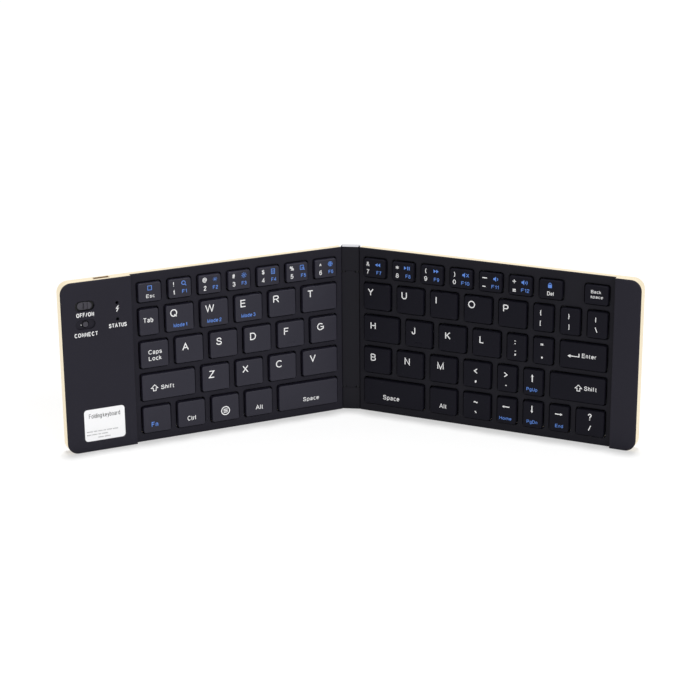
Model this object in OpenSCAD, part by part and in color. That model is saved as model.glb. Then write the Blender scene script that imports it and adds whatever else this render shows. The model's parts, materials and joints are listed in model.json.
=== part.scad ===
// Folding keyboard: two thin halves hinged to a slim spine, standing half open on a long edge.
// Frame: the origin is on the foot of the spine, midway between the two hinge axes.
// +X runs along the spine's width to the user's right, +Y to the back, +Z up along the hinge axes.
// Each half is drawn in its own flat frame: +X outwards from its hinge axis, front faces at -Y.

/* [Overall size] */
// Height of the standing keyboard, from long edge to long edge
body_h = 80; // [80:1:100]
// Length of each half, from its hinged end to its outer end
half_len = 136.1; // [136:0.1:170]
// Thickness of a half at the key bed, front face to back face
bed_t = 4.4; // [4.4:0.1:8]
// How far the raised outer end stands above the key bed
plateau_h = 2; // [1.8:0.1:3]
// Radius of the two outer corners of a half
corner_r = 5; // [4.6:0.1:6]

/* [Fold] */
// Fold of the left half away from flat
left_fold = 31; // [0:1:90]
// Fold of the right half away from flat
right_fold = 18; // [0:1:90]

/* [Spine and hinges] */
// Width of the spine
spine_w = 8.8; // [8:0.1:12]
// Gap between the spine and the end of each half
spine_gap = 0.35; // [0.25:0.05:0.6]
// Depth of the hinge axes behind the key bed's face
hinge_depth = 1.05; // [1:0.05:1.3]
// Free space left between each raised end and the middle plane when folded shut
shut_gap = 0.15; // [0.1:0.05:0.4]
// Radius of the hinge pins
pin_r = 0.55; // [0.45:0.05:0.6]
// Length of each hinge pin
pin_len = 12; // [8:1:18]
// Running clearance between a pin and its lug, on the radius
pin_clear = 0.03; // [0.01:0.01:0.08]
// Thickness of the stamped hinge lugs
lug_t = 0.6; // [0.4:0.1:1]
// Clearance on each side of a lug in its seam
lug_clear = 0.1; // [0.05:0.05:0.3]
// Width of the line between two covers in the middle of the spine
seam_line = 0.15; // [0.1:0.05:0.4]
// Height of the spine's top end cover
end_cover_top_h = 11.5; // [8:0.5:16]
// Height of the spine's bottom end cover
end_cover_bottom_h = 10.8; // [8:0.1:16]
// Rounding of the spine's front edges
spine_edge_r = 0.6; // [0.5:0.05:0.8]
// Wall thickness of the spine's metal channel
channel_wall = 0.8; // [0.6:0.1:1]

/* [Shells] */
// Wall thickness of the metal back covers
cover_wall = 0.8; // [0.7:0.1:1]
// Thickness of the key frame's lip, which lies on the back cover's walls
lip_t = 0.8; // [0.6:0.1:0.9]
// Depth of the webs between the keys
web_t = 1.6; // [1.2:0.1:1.8]
// Thickness of the raised end's front wall
plateau_wall = 1.4; // [1.2:0.1:1.6]
// Clearance between the key frame and the inside of the back cover
shell_clear = 0.1; // [0.05:0.05:0.3]

/* [Keys] */
// Width of a letter key
letter_w = 13.25; // [12:0.05:15]
// Width of a narrow key, such as a bracket or an arrow
narrow_w = 9.2; // [8.5:0.1:10]
// Width of the wide letter keys next to the spine
wide_w = 17.6; // [16:0.1:20]
// Width of the right half's space key
space_w = 30.05; // [24:0.05:36]
// Gap between neighbouring keys of a row
key_gap = 3.47; // [3:0.01:4]
// Height of a letter key
key_h = 12.4; // [10:0.1:12.4]
// Height of a key of the number row
digit_h = 8.8; // [7.6:0.1:8.8]
// Gap between rows of keys
row_gap = 3.2; // [2.6:0.1:3.2]
// Distance from the upper long edge to the number row
edge_top = 4.5; // [4.4:0.05:6]
// Bed between the hinged end and the left block of keys
left_bed_start = 3.3; // [2.2:0.05:4]
// Bed between the hinged end and the right block of keys
right_bed_start = 2.8; // [2.2:0.05:4]
// Bed left between the left block of keys and its raised end
left_bed_end = 3.2; // [2:0.05:5]
// Bed left between the right block of keys and its raised end
right_bed_end = 2.95; // [2:0.05:4]
// How far the keycaps stand above the key bed
key_rise = 1.5; // [1.2:0.1:1.7]
// Travel of a key
key_travel = 1.3; // [0.8:0.1:1.4]
// Thickness of a keycap from its face to the end of its skirt
cap_t = 2.4; // [2:0.1:2.6]
// Thickness of a keycap's top and skirt
cap_wall = 0.9; // [0.7:0.1:1.1]
// Corner radius of a keycap
cap_r = 0.9; // [0.5:0.1:1.2]
// Gap between a keycap and its opening in the frame
cap_clear = 0.4; // [0.3:0.05:0.5]

/* [Inner layers] */
// Thickness of the steel plate under the keys
plate_t = 0.4; // [0.3:0.1:0.6]
// Thickness of the switch membrane
film_t = 0.2; // [0.1:0.05:0.3]
// Distance of the plate from the inner faces of the long walls
plate_margin = 3.1; // [3:0.1:4]
// Radius of a rubber dome's base
dome_r = 2.2; // [1.8:0.1:2.4]
// Radius of a rubber dome's plunger
plunger_r = 1; // [0.7:0.1:1.1]

/* [Controls] */
// Distance of the power switch from the outer end
switch_from_end = 10.9; // [10.5:0.1:13]
// Distance of the power switch below the upper long edge
switch_from_top = 11.1; // [10:0.1:12]
// Length and height of the oval openings of the two controls
oval = [9, 4.5]; // [4:0.1:12]
// Length and height of the power knob's grip
grip = [6.6, 3.4]; // [3:0.1:7]
// Travel of the power knob
knob_travel = 2; // [1:0.1:2.2]
// Distance between the power switch and the connect button
control_pitch = 8.5; // [7.5:0.1:10]
// Radius of the connect button
button_r = 1.25; // [1:0.05:1.5]
// Travel of the connect button
button_travel = 0.3; // [0.2:0.05:0.4]
// Depth of the oval dish around the connect button
dish_depth = 0.5; // [0.3:0.1:0.6]
// Distance of the two lamp holes from the outer end
lamp_from_end = 25.8; // [24:0.1:27]
// Distance between the two lamp holes
lamp_pitch = 7.6; // [6:0.1:9]
// Radius of a lamp hole
lamp_r = 0.7; // [0.5:0.05:1]
// Distance of the charging socket from the outer end
socket_from_end = 20; // [19:0.1:22]
// Outer width, depth and length of the charging socket
socket = [7.5, 2.6, 5]; // [2.4:0.1:8]
// Wall thickness of the charging socket's shell
socket_wall = 0.3; // [0.2:0.05:0.4]
// Length, height and thickness of the label
label = [19, 15.1, 0.06]; // [0.02:0.02:24]
// Distance of the label's middle from the outer end and from the lower long edge
label_at = [17.5, 12.6]; // [10:0.1:20]

/* [Board and battery] */
// Length, thickness and height of the circuit board
board = [25.8, 0.8, 32]; // [0.6:0.1:36]
// Distance of the circuit board from the outer end and from the upper long edge
board_at = [4.7, 1.1]; // [1:0.1:6]
// Length, thickness and height of the battery
battery_size = [24, 3, 36]; // [2:0.1:40]
// Distance of the battery from the outer end and from the lower long edge
battery_at = [3.4, 5]; // [1:0.1:8]

/* [Screws and feet] */
// Distances of the long edges' screws from the hinged end
screw_at = [9, 70]; // [6:1:90]
// Distance of the raised end's screws from its two edges
corner_inset = 3; // [2.6:0.1:4]
// Radius of the screw shanks
screw_r = 0.5; // [0.4:0.05:0.5]
// Radius of the screw heads
head_r = 1.1; // [0.9:0.05:1.15]
// Thickness of the screw heads
head_t = 0.4; // [0.3:0.05:0.45]
// Radius of the screw bosses
boss_r = 1.2; // [1.1:0.05:1.25]
// Radius of the rubber feet on the backs
foot_r = 3.5; // [2.5:0.1:5]
// Thickness of the rubber feet
foot_t = 0.6; // [0.4:0.1:1]
// Distance of the feet from the ends and long edges of a half
foot_inset = 10; // [8:0.5:14]

/* [Hidden] */
$fn = 32;
eps = 0.01;

BLACK = [0.19, 0.19, 0.21];
CAP = [0.24, 0.24, 0.26];
GOLD = [0.93, 0.85, 0.7];
SILVER = [0.76, 0.77, 0.79];
RUBBER = [0.12, 0.12, 0.13];

// Faces of a half in its flat frame, front faces at -Y, the hinge axis at 0
bed_y = -hinge_depth;
plateau_y = bed_y - plateau_h;
back_y = bed_y + bed_t;
floor_y = back_y - cover_wall;
half_in = spine_w / 2 + spine_gap - (hinge_depth + plateau_h + shut_gap);
half_out = half_in + half_len;
hinge_x = hinge_depth + plateau_h + shut_gap;
ceiling_y = plateau_y + plateau_wall;

// Layers under the keys, from the back cover's inner face forwards
plate_y = floor_y - plate_t;
film_y = plate_y - film_t;
cap_top = bed_y - key_rise;
cap_under = cap_top + cap_wall;
layer_in = half_in + cover_wall + 0.65;
layer_z = cover_wall + plate_margin;
edge_in = cover_wall + shell_clear;

// Blocks of keys: six letter keys side by side on the left, the bottom row on the right.
// Seven keys of the number row fill the left block.
left_block = 6 * letter_w + 5 * key_gap;
right_block = space_w + 3 * letter_w + 3 * narrow_w + 6 * key_gap;
digit_w = (left_block - 6 * key_gap) / 7;

// Raised ends
left_step = half_in + left_bed_start + left_block + left_bed_end;
right_step = half_in + right_bed_start + right_block + right_bed_end;
riser_wall = 1.2;

// Seams of the spine, where the hinge lugs turn
seam_h = lug_t + 2 * lug_clear;
seam_low = end_cover_bottom_h + seam_h / 2;
seam_high = body_h - end_cover_top_h - seam_h / 2;
lug_r = hinge_depth - 0.1;
lug_front = -0.2;
lug_back = 0.9;
lug_plate_t = 0.5;
lug_plate_h = 9;

// Spine faces
spine_front = bed_y;
channel_front = 1.2;
channel_in = back_y - channel_wall;
rib_w = 3;
rib_gap = 1;
core_x = hinge_x - lug_r - lug_clear;
end_plate_front = spine_front + 0.4;

// Flat cable through the spine
cable_h = 16;
cable_t = 0.15;
cable_y = 0.35;
cable_z = body_h / 2;
slot_extra = 1;
cable_in = 0.4;
cable_out = 0.3;
cable_bend = cable_y * cos(left_fold) - (half_in - cable_in) * sin(left_fold);
cable_slope = (film_y - cable_t - cable_y - cable_out) / (layer_in - half_in - cable_out);
cable_cross = cable_y + cable_out + cable_slope * (cover_wall - cable_out) + cable_t;
slot_front = min(cable_y - 0.8, cable_bend - 0.1);
slot_back = max(cable_y + 1.3, cable_cross + 0.15);

// Board, switches and socket
board_y = floor_y - board[1];
board_out = half_out - board_at[0];
board_top = body_h - board_at[1];
control_u = half_out - switch_from_end;
switch_z = body_h - switch_from_top;
button_z = switch_z - control_pitch;
lamp_u = half_out - lamp_from_end;
lamp_z = [switch_z - 0.4, switch_z - 0.4 - lamp_pitch];
socket_u = half_out - socket_from_end;
socket_y = board_y - socket[1];
flange = [oval[0] + knob_travel + 0.6, 0.5, oval[1] + 1];
chip = [5, 0.9, 5];
crystal = [3.2, 0.8, 2.5];
connector = [2.5, 1, 9.5];
connector_at = [3, 2.5];
label_r = 1.5;
slide_clear = 0.05;
flange_y = ceiling_y + slide_clear;
stem = [1.6, 1];
stem_reach = 0.6;
switch_body = [6.4, 1.4, 2.8];
tact_body = [3.6, 1, 3.6];
tact_pin = [0.9, 0.3];

// Screws, as places [along the half, height], and the feet
screw_low = cover_wall + boss_r + 0.2;
SCREWS = [for (u = screw_at) for (z = [screw_low, body_h - screw_low]) [half_in + u, z]];
CORNERS = [for (z = [corner_inset, body_h - corner_inset]) [half_out - corner_inset, z]];
FEET = [for (u = [half_in + foot_inset, half_out - foot_inset])
    for (z = [foot_inset, body_h - foot_inset]) [u, z]];
SPINE_SCREWS = [end_cover_bottom_h / 2, body_h / 2 + cable_h / 2 + 6, body_h - end_cover_top_h / 2];

// Key banks: a key that is named by itself has a joint of its own, a bank shares one.
// Each row lists [bank, width] from left to right. A width of 0 takes what is left of the row,
// and a bank with no name is bare bed.
function bank(name, count, w) = [for (i = [1:count]) [name, w]];
LEFT_ROWS = [
    concat(bank("key_esc", 1, digit_w), bank("keys_1_to_6", 6, digit_w)),
    concat(bank("key_tab", 1, narrow_w), bank("keys_q_to_t", 4, letter_w), bank("keys_q_to_t", 1, 0)),
    concat(bank("key_caps_lock", 1, 0), bank("keys_a_to_g", 5, letter_w)),
    concat(bank("key_left_shift", 1, 0), bank("keys_z_to_v", 3, letter_w), bank("keys_z_to_v", 1, wide_w)),
    concat(bank("key_fn", 1, letter_w), bank("key_ctrl", 1, letter_w),
        bank("keys_menu_alt", 2, letter_w), bank("key_left_space", 1, 0))
];
RIGHT_ROWS = [
    concat(bank("keys_7_to_equals", 6, digit_w), bank("key_delete", 1, digit_w), bank("", 1, key_gap),
        bank("key_backspace", 1, 0)),
    concat(bank("keys_y_to_p", 5, letter_w), bank("keys_brackets", 2, narrow_w), bank("keys_brackets", 1, 0)),
    concat(bank("keys_h_to_l", 1, wide_w), bank("keys_h_to_l", 3, letter_w),
        bank("keys_semicolon_quote", 2, narrow_w), bank("key_enter", 1, 0)),
    concat(bank("keys_b_to_period", 4, letter_w), bank("keys_b_to_period", 1, narrow_w),
        bank("keys_arrows", 1, narrow_w), bank("key_right_shift", 1, 0)),
    concat(bank("key_right_space", 1, space_w), bank("keys_alt_tilde", 2, letter_w),
        bank("keys_arrows", 3, narrow_w), bank("key_slash", 1, 0))
];
LEFT_BANKS = ["key_esc", "keys_1_to_6", "key_tab", "keys_q_to_t", "key_caps_lock", "keys_a_to_g",
    "key_left_shift", "keys_z_to_v", "key_fn", "key_ctrl", "keys_menu_alt", "key_left_space"];
RIGHT_BANKS = ["keys_7_to_equals", "key_delete", "key_backspace", "keys_y_to_p", "keys_brackets",
    "keys_h_to_l", "keys_semicolon_quote", "key_enter", "keys_b_to_period", "keys_arrows",
    "key_right_shift", "key_right_space", "keys_alt_tilde", "key_slash"];

function sum(v, n) = n == 0 ? 0 : v[n - 1] + sum(v, n - 1);
function rest_of(row, block) = block - sum([for (k = row) k[1]], len(row)) - key_gap * (len(row) - 1);
function widths(row, block) = [for (k = row) k[1] == 0 ? rest_of(row, block) : k[1]];
function row_h(r) = r == 0 ? digit_h : key_h;
function row_top(r) = edge_top + (r == 0 ? 0 : digit_h + row_gap + (r - 1) * (key_h + row_gap));
function row_z(r) = body_h - row_top(r) - row_h(r) / 2;
function key_at(w, i) = sum(w, i) + i * key_gap + w[i] / 2;

// Every key of a half as [bank, distance of its middle from the hinge axis, height, width, row height]
function keys(rows, start, block, left) = [for (r = [0:len(rows) - 1]) let (w = widths(rows[r], block))
    for (i = [0:len(rows[r]) - 1]) if (rows[r][i][0] != "")
        [rows[r][i][0], half_in + start + (left ? block - key_at(w, i) : key_at(w, i)),
            row_z(r), w[i], row_h(r)]];
LEFT_KEYS = keys(LEFT_ROWS, left_bed_start, left_block, true);
RIGHT_KEYS = keys(RIGHT_ROWS, right_bed_start, right_block, false);

// ---- Places ----

// Puts a half's flat frame at its fold
module left_half() {
    translate([-hinge_x, 0, 0]) rotate([0, 0, left_fold]) mirror([1, 0, 0]) children();
}
module right_half() {
    translate([hinge_x, 0, 0]) rotate([0, 0, -right_fold]) children();
}

// ---- Shapes ----

// Box from one corner to the other
module block(low, high) {
    translate(low) cube(high - low);
}

// Cylinder along +Y, from y to y + len
module peg(u, y, z, r, len) {
    translate([u, y, z]) rotate([-90, 0, 0]) cylinder(r = r, h = len);
}

// Plate with four round corners, its middle at [u, z], from y to y + t
module pad(u, y, z, w, h, t, r) {
    block([u - w / 2 + r, y, z - h / 2], [u + w / 2 - r, y + t, z + h / 2]);
    block([u - w / 2, y, z - h / 2 + r], [u + w / 2, y + t, z + h / 2 - r]);
    for (du = [r - w / 2, w / 2 - r]) for (dz = [r - h / 2, h / 2 - r]) peg(u + du, y, z + dz, r, t);
}

// Slab in the outline of a half, drawn in by inset, with its two outer corners round
module half_slab(u, y, t, inset) {
    r = corner_r - inset;
    out = half_out - inset;
    block([u, y, inset], [out - r, y + t, body_h - inset]);
    block([u, y, corner_r], [out, y + t, body_h - corner_r]);
    for (z = [corner_r, body_h - corner_r]) peg(out - r, y, z, r, t);
}

// Stretch of the spine's section, with its two front edges round
module spine_block(front, back, low, high) {
    r = spine_edge_r;
    x = spine_w / 2;
    block([-x, front + r, low], [x, back, high]);
    block([-x + r, front, low], [x - r, front + r + eps, high]);
    for (s = [-1, 1]) translate([s * (x - r), front + r, low]) cylinder(r = r, h = high - low);
}

// ---- Halves ----

// Metal back cover: a tray whose walls are higher around the raised end
module back_cover(step) {
    color(GOLD) difference() {
        union() {
            half_slab(half_in, bed_y + lip_t, back_y - bed_y - lip_t, 0);
            intersection() {
                half_slab(half_in, plateau_y + lip_t, back_y - plateau_y - lip_t, 0);
                block([step, plateau_y, 0], [half_out, back_y, body_h]);
            }
        }
        half_slab(half_in + cover_wall, plateau_y, floor_y - plateau_y, cover_wall);
        // slots in the hinged end for the lugs and for the flat cable
        for (z = [seam_low, seam_high])
            block([half_in - eps, lug_front - 0.1, z - seam_h / 2],
                [half_in + cover_wall + eps, lug_back + 0.1, z + seam_h / 2]);
        block([half_in - eps, bed_y, cable_z - cable_h / 2 - slot_extra],
            [half_in + cover_wall + eps, slot_back, cable_z + cable_h / 2 + slot_extra]);
        // screw holes with recessed heads
        for (s = concat(SCREWS, CORNERS)) {
            peg(s[0], floor_y - eps, s[1], screw_r + 0.1, cover_wall + 2 * eps);
            peg(s[0], back_y - head_t, s[1], head_r + 0.05, head_t + eps);
        }
        children();
    }
}

// Moulded front: the key bed with an opening for each key, and the raised end
module key_frame(keys, step) {
    color(BLACK) difference() {
        union() {
            block([half_in, bed_y, 0], [step, bed_y + lip_t, body_h]);
            block([layer_in - shell_clear, bed_y, edge_in], [step, bed_y + web_t, body_h - edge_in]);
            block([step, plateau_y, edge_in], [step + riser_wall, bed_y + lip_t, body_h - edge_in]);
            intersection() {
                union() {
                    half_slab(half_in, plateau_y, lip_t, 0);
                    half_slab(half_in, plateau_y, plateau_wall, edge_in);
                }
                block([step, plateau_y, 0], [half_out, back_y, body_h]);
            }
            for (s = SCREWS) peg(s[0], bed_y, s[1], boss_r, floor_y - bed_y);
            for (s = CORNERS) peg(s[0], plateau_y, s[1], boss_r, floor_y - plateau_y);
        }
        for (k = keys)
            pad(k[1], bed_y - 1, k[2], k[3] + 2 * cap_clear, k[4] + 2 * cap_clear, web_t + 2,
                cap_r + cap_clear);
        for (s = concat(SCREWS, CORNERS)) peg(s[0], bed_y + web_t, s[1], screw_r, back_y);
        children();
    }
}

// Steel plate that lies on the back cover under the keys
module key_plate(step) {
    color(SILVER) block([layer_in, plate_y, layer_z], [step - 0.4, floor_y, body_h - layer_z]);
}

// Printed switch film on the steel plate
module membrane(step) {
    color("dimgray") block([layer_in, film_y, layer_z + 0.3], [step - 0.8, plate_y, body_h - layer_z - 0.3]);
}

// Rubber dome under each key: a base, a thin cone and a plunger
module domes(keys) {
    skirt = 0.3;
    cone = 0.7;
    gap = 0.05;
    color(RUBBER) for (k = keys) translate([k[1], film_y, k[2]]) rotate([90, 0, 0]) {
        cylinder(r = dome_r, h = skirt);
        translate([0, 0, skirt]) cylinder(r1 = dome_r, r2 = plunger_r, h = cone);
        translate([0, 0, skirt]) cylinder(r = plunger_r, h = film_y - cap_under - skirt - gap);
    }
}

// Pair of crossed link frames that keeps each key level
module scissor_links(keys) {
    link_t = 0.4;
    rail = 0.6;
    len = min(narrow_w, digit_w) - 2 * cap_wall - 0.6;
    rise = film_y - cap_under;
    tilt = asin((rise - link_t - 0.4) / len);
    outer = digit_h - 2 * cap_wall - 1.4;
    inner = outer - 2 * rail - 0.5;
    color("ivory") for (k = keys) translate([k[1], (film_y + cap_under) / 2, k[2]]) {
        rotate([0, 0, tilt]) link(len, link_t, outer, outer - 2 * rail);
        rotate([0, 0, -tilt]) link(len, link_t, inner, inner - 2 * rail);
    }
}
module link(len, t, w, window) {
    end = 0.6;
    difference() {
        cube([len, t, w], center = true);
        cube([len - 2 * end, 2 * t, window], center = true);
    }
}

// Two stamped lugs, each an eye around its pin and a plate against the end wall's inner face
module hinge_lugs() {
    plate_u = half_in + cover_wall;
    color("gray") for (z = [seam_low, seam_high]) difference() {
        union() {
            translate([0, 0, z - lug_t / 2]) cylinder(r = lug_r, h = lug_t);
            block([0, lug_front, z - lug_t / 2], [plate_u + lug_plate_t, lug_back, z + lug_t / 2]);
            block([plate_u, lug_front, z - lug_plate_h / 2],
                [plate_u + lug_plate_t, floor_y, z + lug_plate_h / 2]);
        }
        translate([0, 0, z - lug_t]) cylinder(r = pin_r + pin_clear, h = 2 * lug_t);
    }
}

// Small screws from the back into the frame's bosses
module screws() {
    color("silver") for (s = concat(SCREWS, CORNERS)) {
        peg(s[0], back_y - head_t, s[1], head_r, head_t);
        peg(s[0], bed_y + web_t + 0.3, s[1], screw_r, back_y - head_t - bed_y - web_t - 0.3);
    }
}

// Rubber feet on the back
module feet() {
    color(RUBBER) for (f = FEET) peg(f[0], back_y, f[1], foot_r, foot_t);
}

// Keycaps of one bank: hollow from below
module keycaps(keys, bank) {
    color(CAP) for (k = keys) if (k[0] == bank) difference() {
        pad(k[1], cap_top, k[2], k[3], k[4], cap_t, cap_r);
        block([k[1] - k[3] / 2 + cap_wall, cap_under, k[2] - k[4] / 2 + cap_wall],
            [k[1] + k[3] / 2 - cap_wall, cap_top + cap_t + 1, k[2] + k[4] / 2 - cap_wall]);
    }
}

// ---- Left half ----

module left_back_cover() {
    left_half() back_cover(left_step)
        block([socket_u - socket[0] / 2 - 0.15, socket_y - 0.15, body_h - cover_wall - 1],
            [socket_u + socket[0] / 2 + 0.15, board_y + 0.15, body_h + 1]);
}
module left_key_frame() {
    left_half() key_frame(LEFT_KEYS, left_step) {
        pad(control_u, plateau_y - 1, switch_z, oval[0], oval[1], 2 * plateau_wall, oval[1] / 2 - eps);
        pad(control_u, plateau_y - 1, button_z, oval[0], oval[1], 1 + dish_depth, oval[1] / 2 - eps);
        peg(control_u, plateau_y - 1, button_z, button_r + 0.1, 2 * plateau_wall);
        for (z = lamp_z) peg(lamp_u, plateau_y - 1, z, lamp_r, 2 * plateau_wall);
    }
}
module left_key_plate() {
    left_half() key_plate(left_step);
}
module left_membrane() {
    // the film's tail climbs onto the board
    tail_low = board_top - board[2] + connector_at[1] + 0.5;
    tail_high = tail_low + connector[2] - 1;
    tail_in = left_step - 1;
    tail_y = board_y - film_t;
    left_half() color("dimgray") {
        membrane(left_step);
        block([tail_in, tail_y, tail_low], [tail_in + film_t, plate_y, tail_high]);
        block([tail_in, tail_y, tail_low], [board_out - board[0] + connector_at[0], board_y, tail_high]);
    }
}
module left_domes() {
    left_half() domes(LEFT_KEYS);
}
module left_scissor_links() {
    left_half() scissor_links(LEFT_KEYS);
}
module left_hinge_lugs() {
    left_half() hinge_lugs();
}
module left_screws() {
    left_half() screws();
}
module left_feet() {
    left_half() feet();
}

// Circuit board with its chip, crystal and film connector soldered on
module main_board() {
    low = [board_out - board[0], board_y, board_top - board[2]];
    chip_low = [socket_u - 2, board_y - chip[1], low[2] + 2];
    crystal_low = [socket_u + 5, board_y - crystal[1], low[2] + 3];
    connector_low = [low[0] + connector_at[0], board_y - connector[1], low[2] + connector_at[1]];
    left_half() color("seagreen") {
        block(low, low + board);
        block(chip_low, chip_low + chip);
        block(crystal_low, crystal_low + crystal);
        block(connector_low, connector_low + connector);
    }
}

// Flat battery cell with round long edges
module battery() {
    low = [half_out - battery_at[0] - battery_size[0], floor_y - battery_size[1], battery_at[1]];
    r = battery_size[1] / 2 - 0.1;
    left_half() color("lightslategray") {
        block(low + [r, 0, 0], low + battery_size - [r, 0, 0]);
        block(low + [0, r, 0], low + battery_size - [0, r, 0]);
        for (u = [r, battery_size[0] - r]) for (y = [r, battery_size[1] - r])
            translate(low + [u, y, 0]) cylinder(r = r, h = battery_size[2]);
    }
}

// Charging socket: a metal shell and the contact tongue inside it
module usb_socket() {
    low = [socket_u - socket[0] / 2, socket_y, body_h - socket[2]];
    high = [socket_u + socket[0] / 2, board_y, body_h];
    w = [socket_wall, socket_wall, 0];
    base = 2 * socket_wall;
    tongue = [4, 0.6, 3.4];
    tongue_low = [socket_u - tongue[0] / 2, (socket_y + board_y - tongue[1]) / 2, low[2] + base];
    left_half() {
        color("silver") difference() {
            block(low, high);
            block(low + w + [0, 0, base], high - w + [0, 0, 1]);
        }
        color("black") block(tongue_low, tongue_low + tongue);
    }
}

// Slide switch on the board, with a groove that the knob's stem runs in
module power_switch() {
    wall = 0.4;
    half_groove = stem[1] / 2 + 0.1;
    low = [control_u - switch_body[0] / 2, board_y - switch_body[1], switch_z - switch_body[2] / 2];
    left_half() color("dimgray") difference() {
        block(low, low + switch_body);
        block([low[0] + wall, low[1] - 1, switch_z - half_groove],
            [low[0] + switch_body[0] - wall, low[1] + stem_reach + 0.2, switch_z + half_groove]);
    }
}

// Push switch on the board under the connect button
module tact_switch() {
    left_half() color("silver") {
        block([control_u - tact_body[0] / 2, board_y - tact_body[1], button_z - tact_body[2] / 2],
            [control_u + tact_body[0] / 2, board_y, button_z + tact_body[2] / 2]);
        peg(control_u, board_y - tact_body[1] - tact_pin[1], button_z, tact_pin[0], tact_pin[1] + eps);
    }
}

// Two indicator lamps on the board behind their holes
module indicator_leds() {
    led = [1.6, 0.7, 0.8];
    left_half() color("white") for (z = lamp_z)
        block([lamp_u - led[0] / 2, board_y - led[1], z - led[2] / 2],
            [lamp_u + led[0] / 2, board_y, z + led[2] / 2]);
}

module label_sticker() {
    left_half() color("white")
        pad(half_out - label_at[0], plateau_y - label[2], label_at[1], label[0], label[1], label[2],
            label_r);
}

// Sliding knob: a grooved grip in the oval opening, a wide flange behind the wall and a stem
module power_knob() {
    sink = 0.2;
    groove = [0.9, 0.35];
    grip_y = plateau_y + sink;
    left_half() color([0.36, 0.36, 0.39]) difference() {
        union() {
            pad(control_u, grip_y, switch_z, grip[0], grip[1], flange_y - grip_y + eps, grip[1] / 2 - eps);
            block([control_u - flange[0] / 2, flange_y, switch_z - flange[2] / 2],
                [control_u + flange[0] / 2, flange_y + flange[1], switch_z + flange[2] / 2]);
            block([control_u - stem[0] / 2, flange_y, switch_z - stem[1] / 2],
                [control_u + stem[0] / 2, board_y - switch_body[1] + stem_reach, switch_z + stem[1] / 2]);
        }
        block([control_u - groove[0] / 2, grip_y - 1, switch_z - grip[1]],
            [control_u + groove[0] / 2, grip_y + groove[1], switch_z + grip[1]]);
    }
}

// Connect button: a round cap, a collar behind the wall and a stem over the push switch
module connect_button() {
    top = plateau_y + 0.05;
    collar = [button_r + 0.7, 0.4];
    stem_r = 0.8;
    stem_end = board_y - tact_body[1] - tact_pin[1] - button_travel - slide_clear;
    left_half() color([0.36, 0.36, 0.39]) {
        peg(control_u, top, button_z, button_r, flange_y - top + eps);
        peg(control_u, flange_y, button_z, collar[0], collar[1]);
        peg(control_u, flange_y, button_z, stem_r, stem_end - flange_y);
    }
}

// ---- Right half ----

module right_back_cover() {
    right_half() back_cover(right_step);
}
module right_key_frame() {
    right_half() key_frame(RIGHT_KEYS, right_step);
}
module right_key_plate() {
    right_half() key_plate(right_step);
}
module right_membrane() {
    right_half() membrane(right_step);
}
module right_domes() {
    right_half() domes(RIGHT_KEYS);
}
module right_scissor_links() {
    right_half() scissor_links(RIGHT_KEYS);
}
module right_hinge_lugs() {
    right_half() hinge_lugs();
}
module right_screws() {
    right_half() screws();
}
module right_feet() {
    right_half() feet();
}

// ---- Spine ----

// Metal channel: the back and sides of the spine, and its two end plates
module spine_channel() {
    x = spine_w / 2;
    color(SILVER) difference() {
        union() {
            block([-x, channel_front, 0], [x, back_y, body_h]);
            for (z = [0, body_h - channel_wall])
                block([-x + spine_edge_r, end_plate_front, z],
                    [x - spine_edge_r, channel_front + eps, z + channel_wall]);
        }
        block([-x + channel_wall, -1, channel_wall], [x - channel_wall, channel_in, body_h - channel_wall]);
        for (z = SPINE_SCREWS) {
            peg(0, channel_in - eps, z, screw_r + 0.1, channel_wall + 2 * eps);
            peg(0, back_y - head_t, z, head_r + 0.05, head_t + eps);
        }
    }
}

// Front cover of one stretch of the spine: it holds the pins, and its rib is screwed to the channel.
// Its core reaches between the lugs by grow at each end.
module spine_cover(low, high, rib_low, rib_high, screw_z, grow = 0) {
    color(BLACK) difference() {
        union() {
            spine_block(spine_front, channel_front, low, high);
            block([-core_x, spine_front, low - grow], [core_x, channel_front, high + grow]);
            block([-rib_w / 2, channel_front - eps, rib_low], [rib_w / 2, channel_in, rib_high]);
        }
        for (s = [-1, 1]) for (z = [seam_low, seam_high])
            translate([s * hinge_x, 0, z - pin_len / 2]) cylinder(r = pin_r, h = pin_len);
        peg(0, 0, screw_z, screw_r, back_y);
        children();
    }
}

// Recess in an end cover for the channel's end plate, open at the end of the spine
module end_plate_recess(low, high) {
    block([-spine_w / 2 + spine_edge_r, end_plate_front, low], [spine_w / 2 - spine_edge_r, back_y, high]);
}

module spine_cover_top() {
    low = body_h - end_cover_top_h;
    end = body_h - channel_wall;
    spine_cover(low, body_h, low + rib_gap, end, SPINE_SCREWS[2]) end_plate_recess(end, body_h + 1);
}
module spine_cover_bottom() {
    spine_cover(0, end_cover_bottom_h, channel_wall, end_cover_bottom_h - rib_gap, SPINE_SCREWS[0])
        end_plate_recess(-1, channel_wall);
}
module spine_cover_middle() {
    low = end_cover_bottom_h + seam_h;
    high = body_h - end_cover_top_h - seam_h;
    spine_cover(low, high, cable_z + cable_h / 2 + 2 * rib_gap, high - rib_gap, SPINE_SCREWS[1],
        seam_h - seam_line)
        block([-spine_w, slot_front, cable_z - cable_h / 2 - slot_extra],
            [spine_w, back_y, cable_z + cable_h / 2 + slot_extra]);
}

// Four short pins, one through each lug
module hinge_pins() {
    color("silver") for (s = [-1, 1]) for (z = [seam_low, seam_high])
        translate([s * hinge_x, 0, z - pin_len / 2]) cylinder(r = pin_r, h = pin_len);
}

module spine_screws() {
    color("silver") for (z = SPINE_SCREWS) {
        peg(0, back_y - head_t, z, head_r, head_t);
        peg(0, 0.3, z, screw_r, back_y - head_t - 0.3);
    }
}

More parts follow.
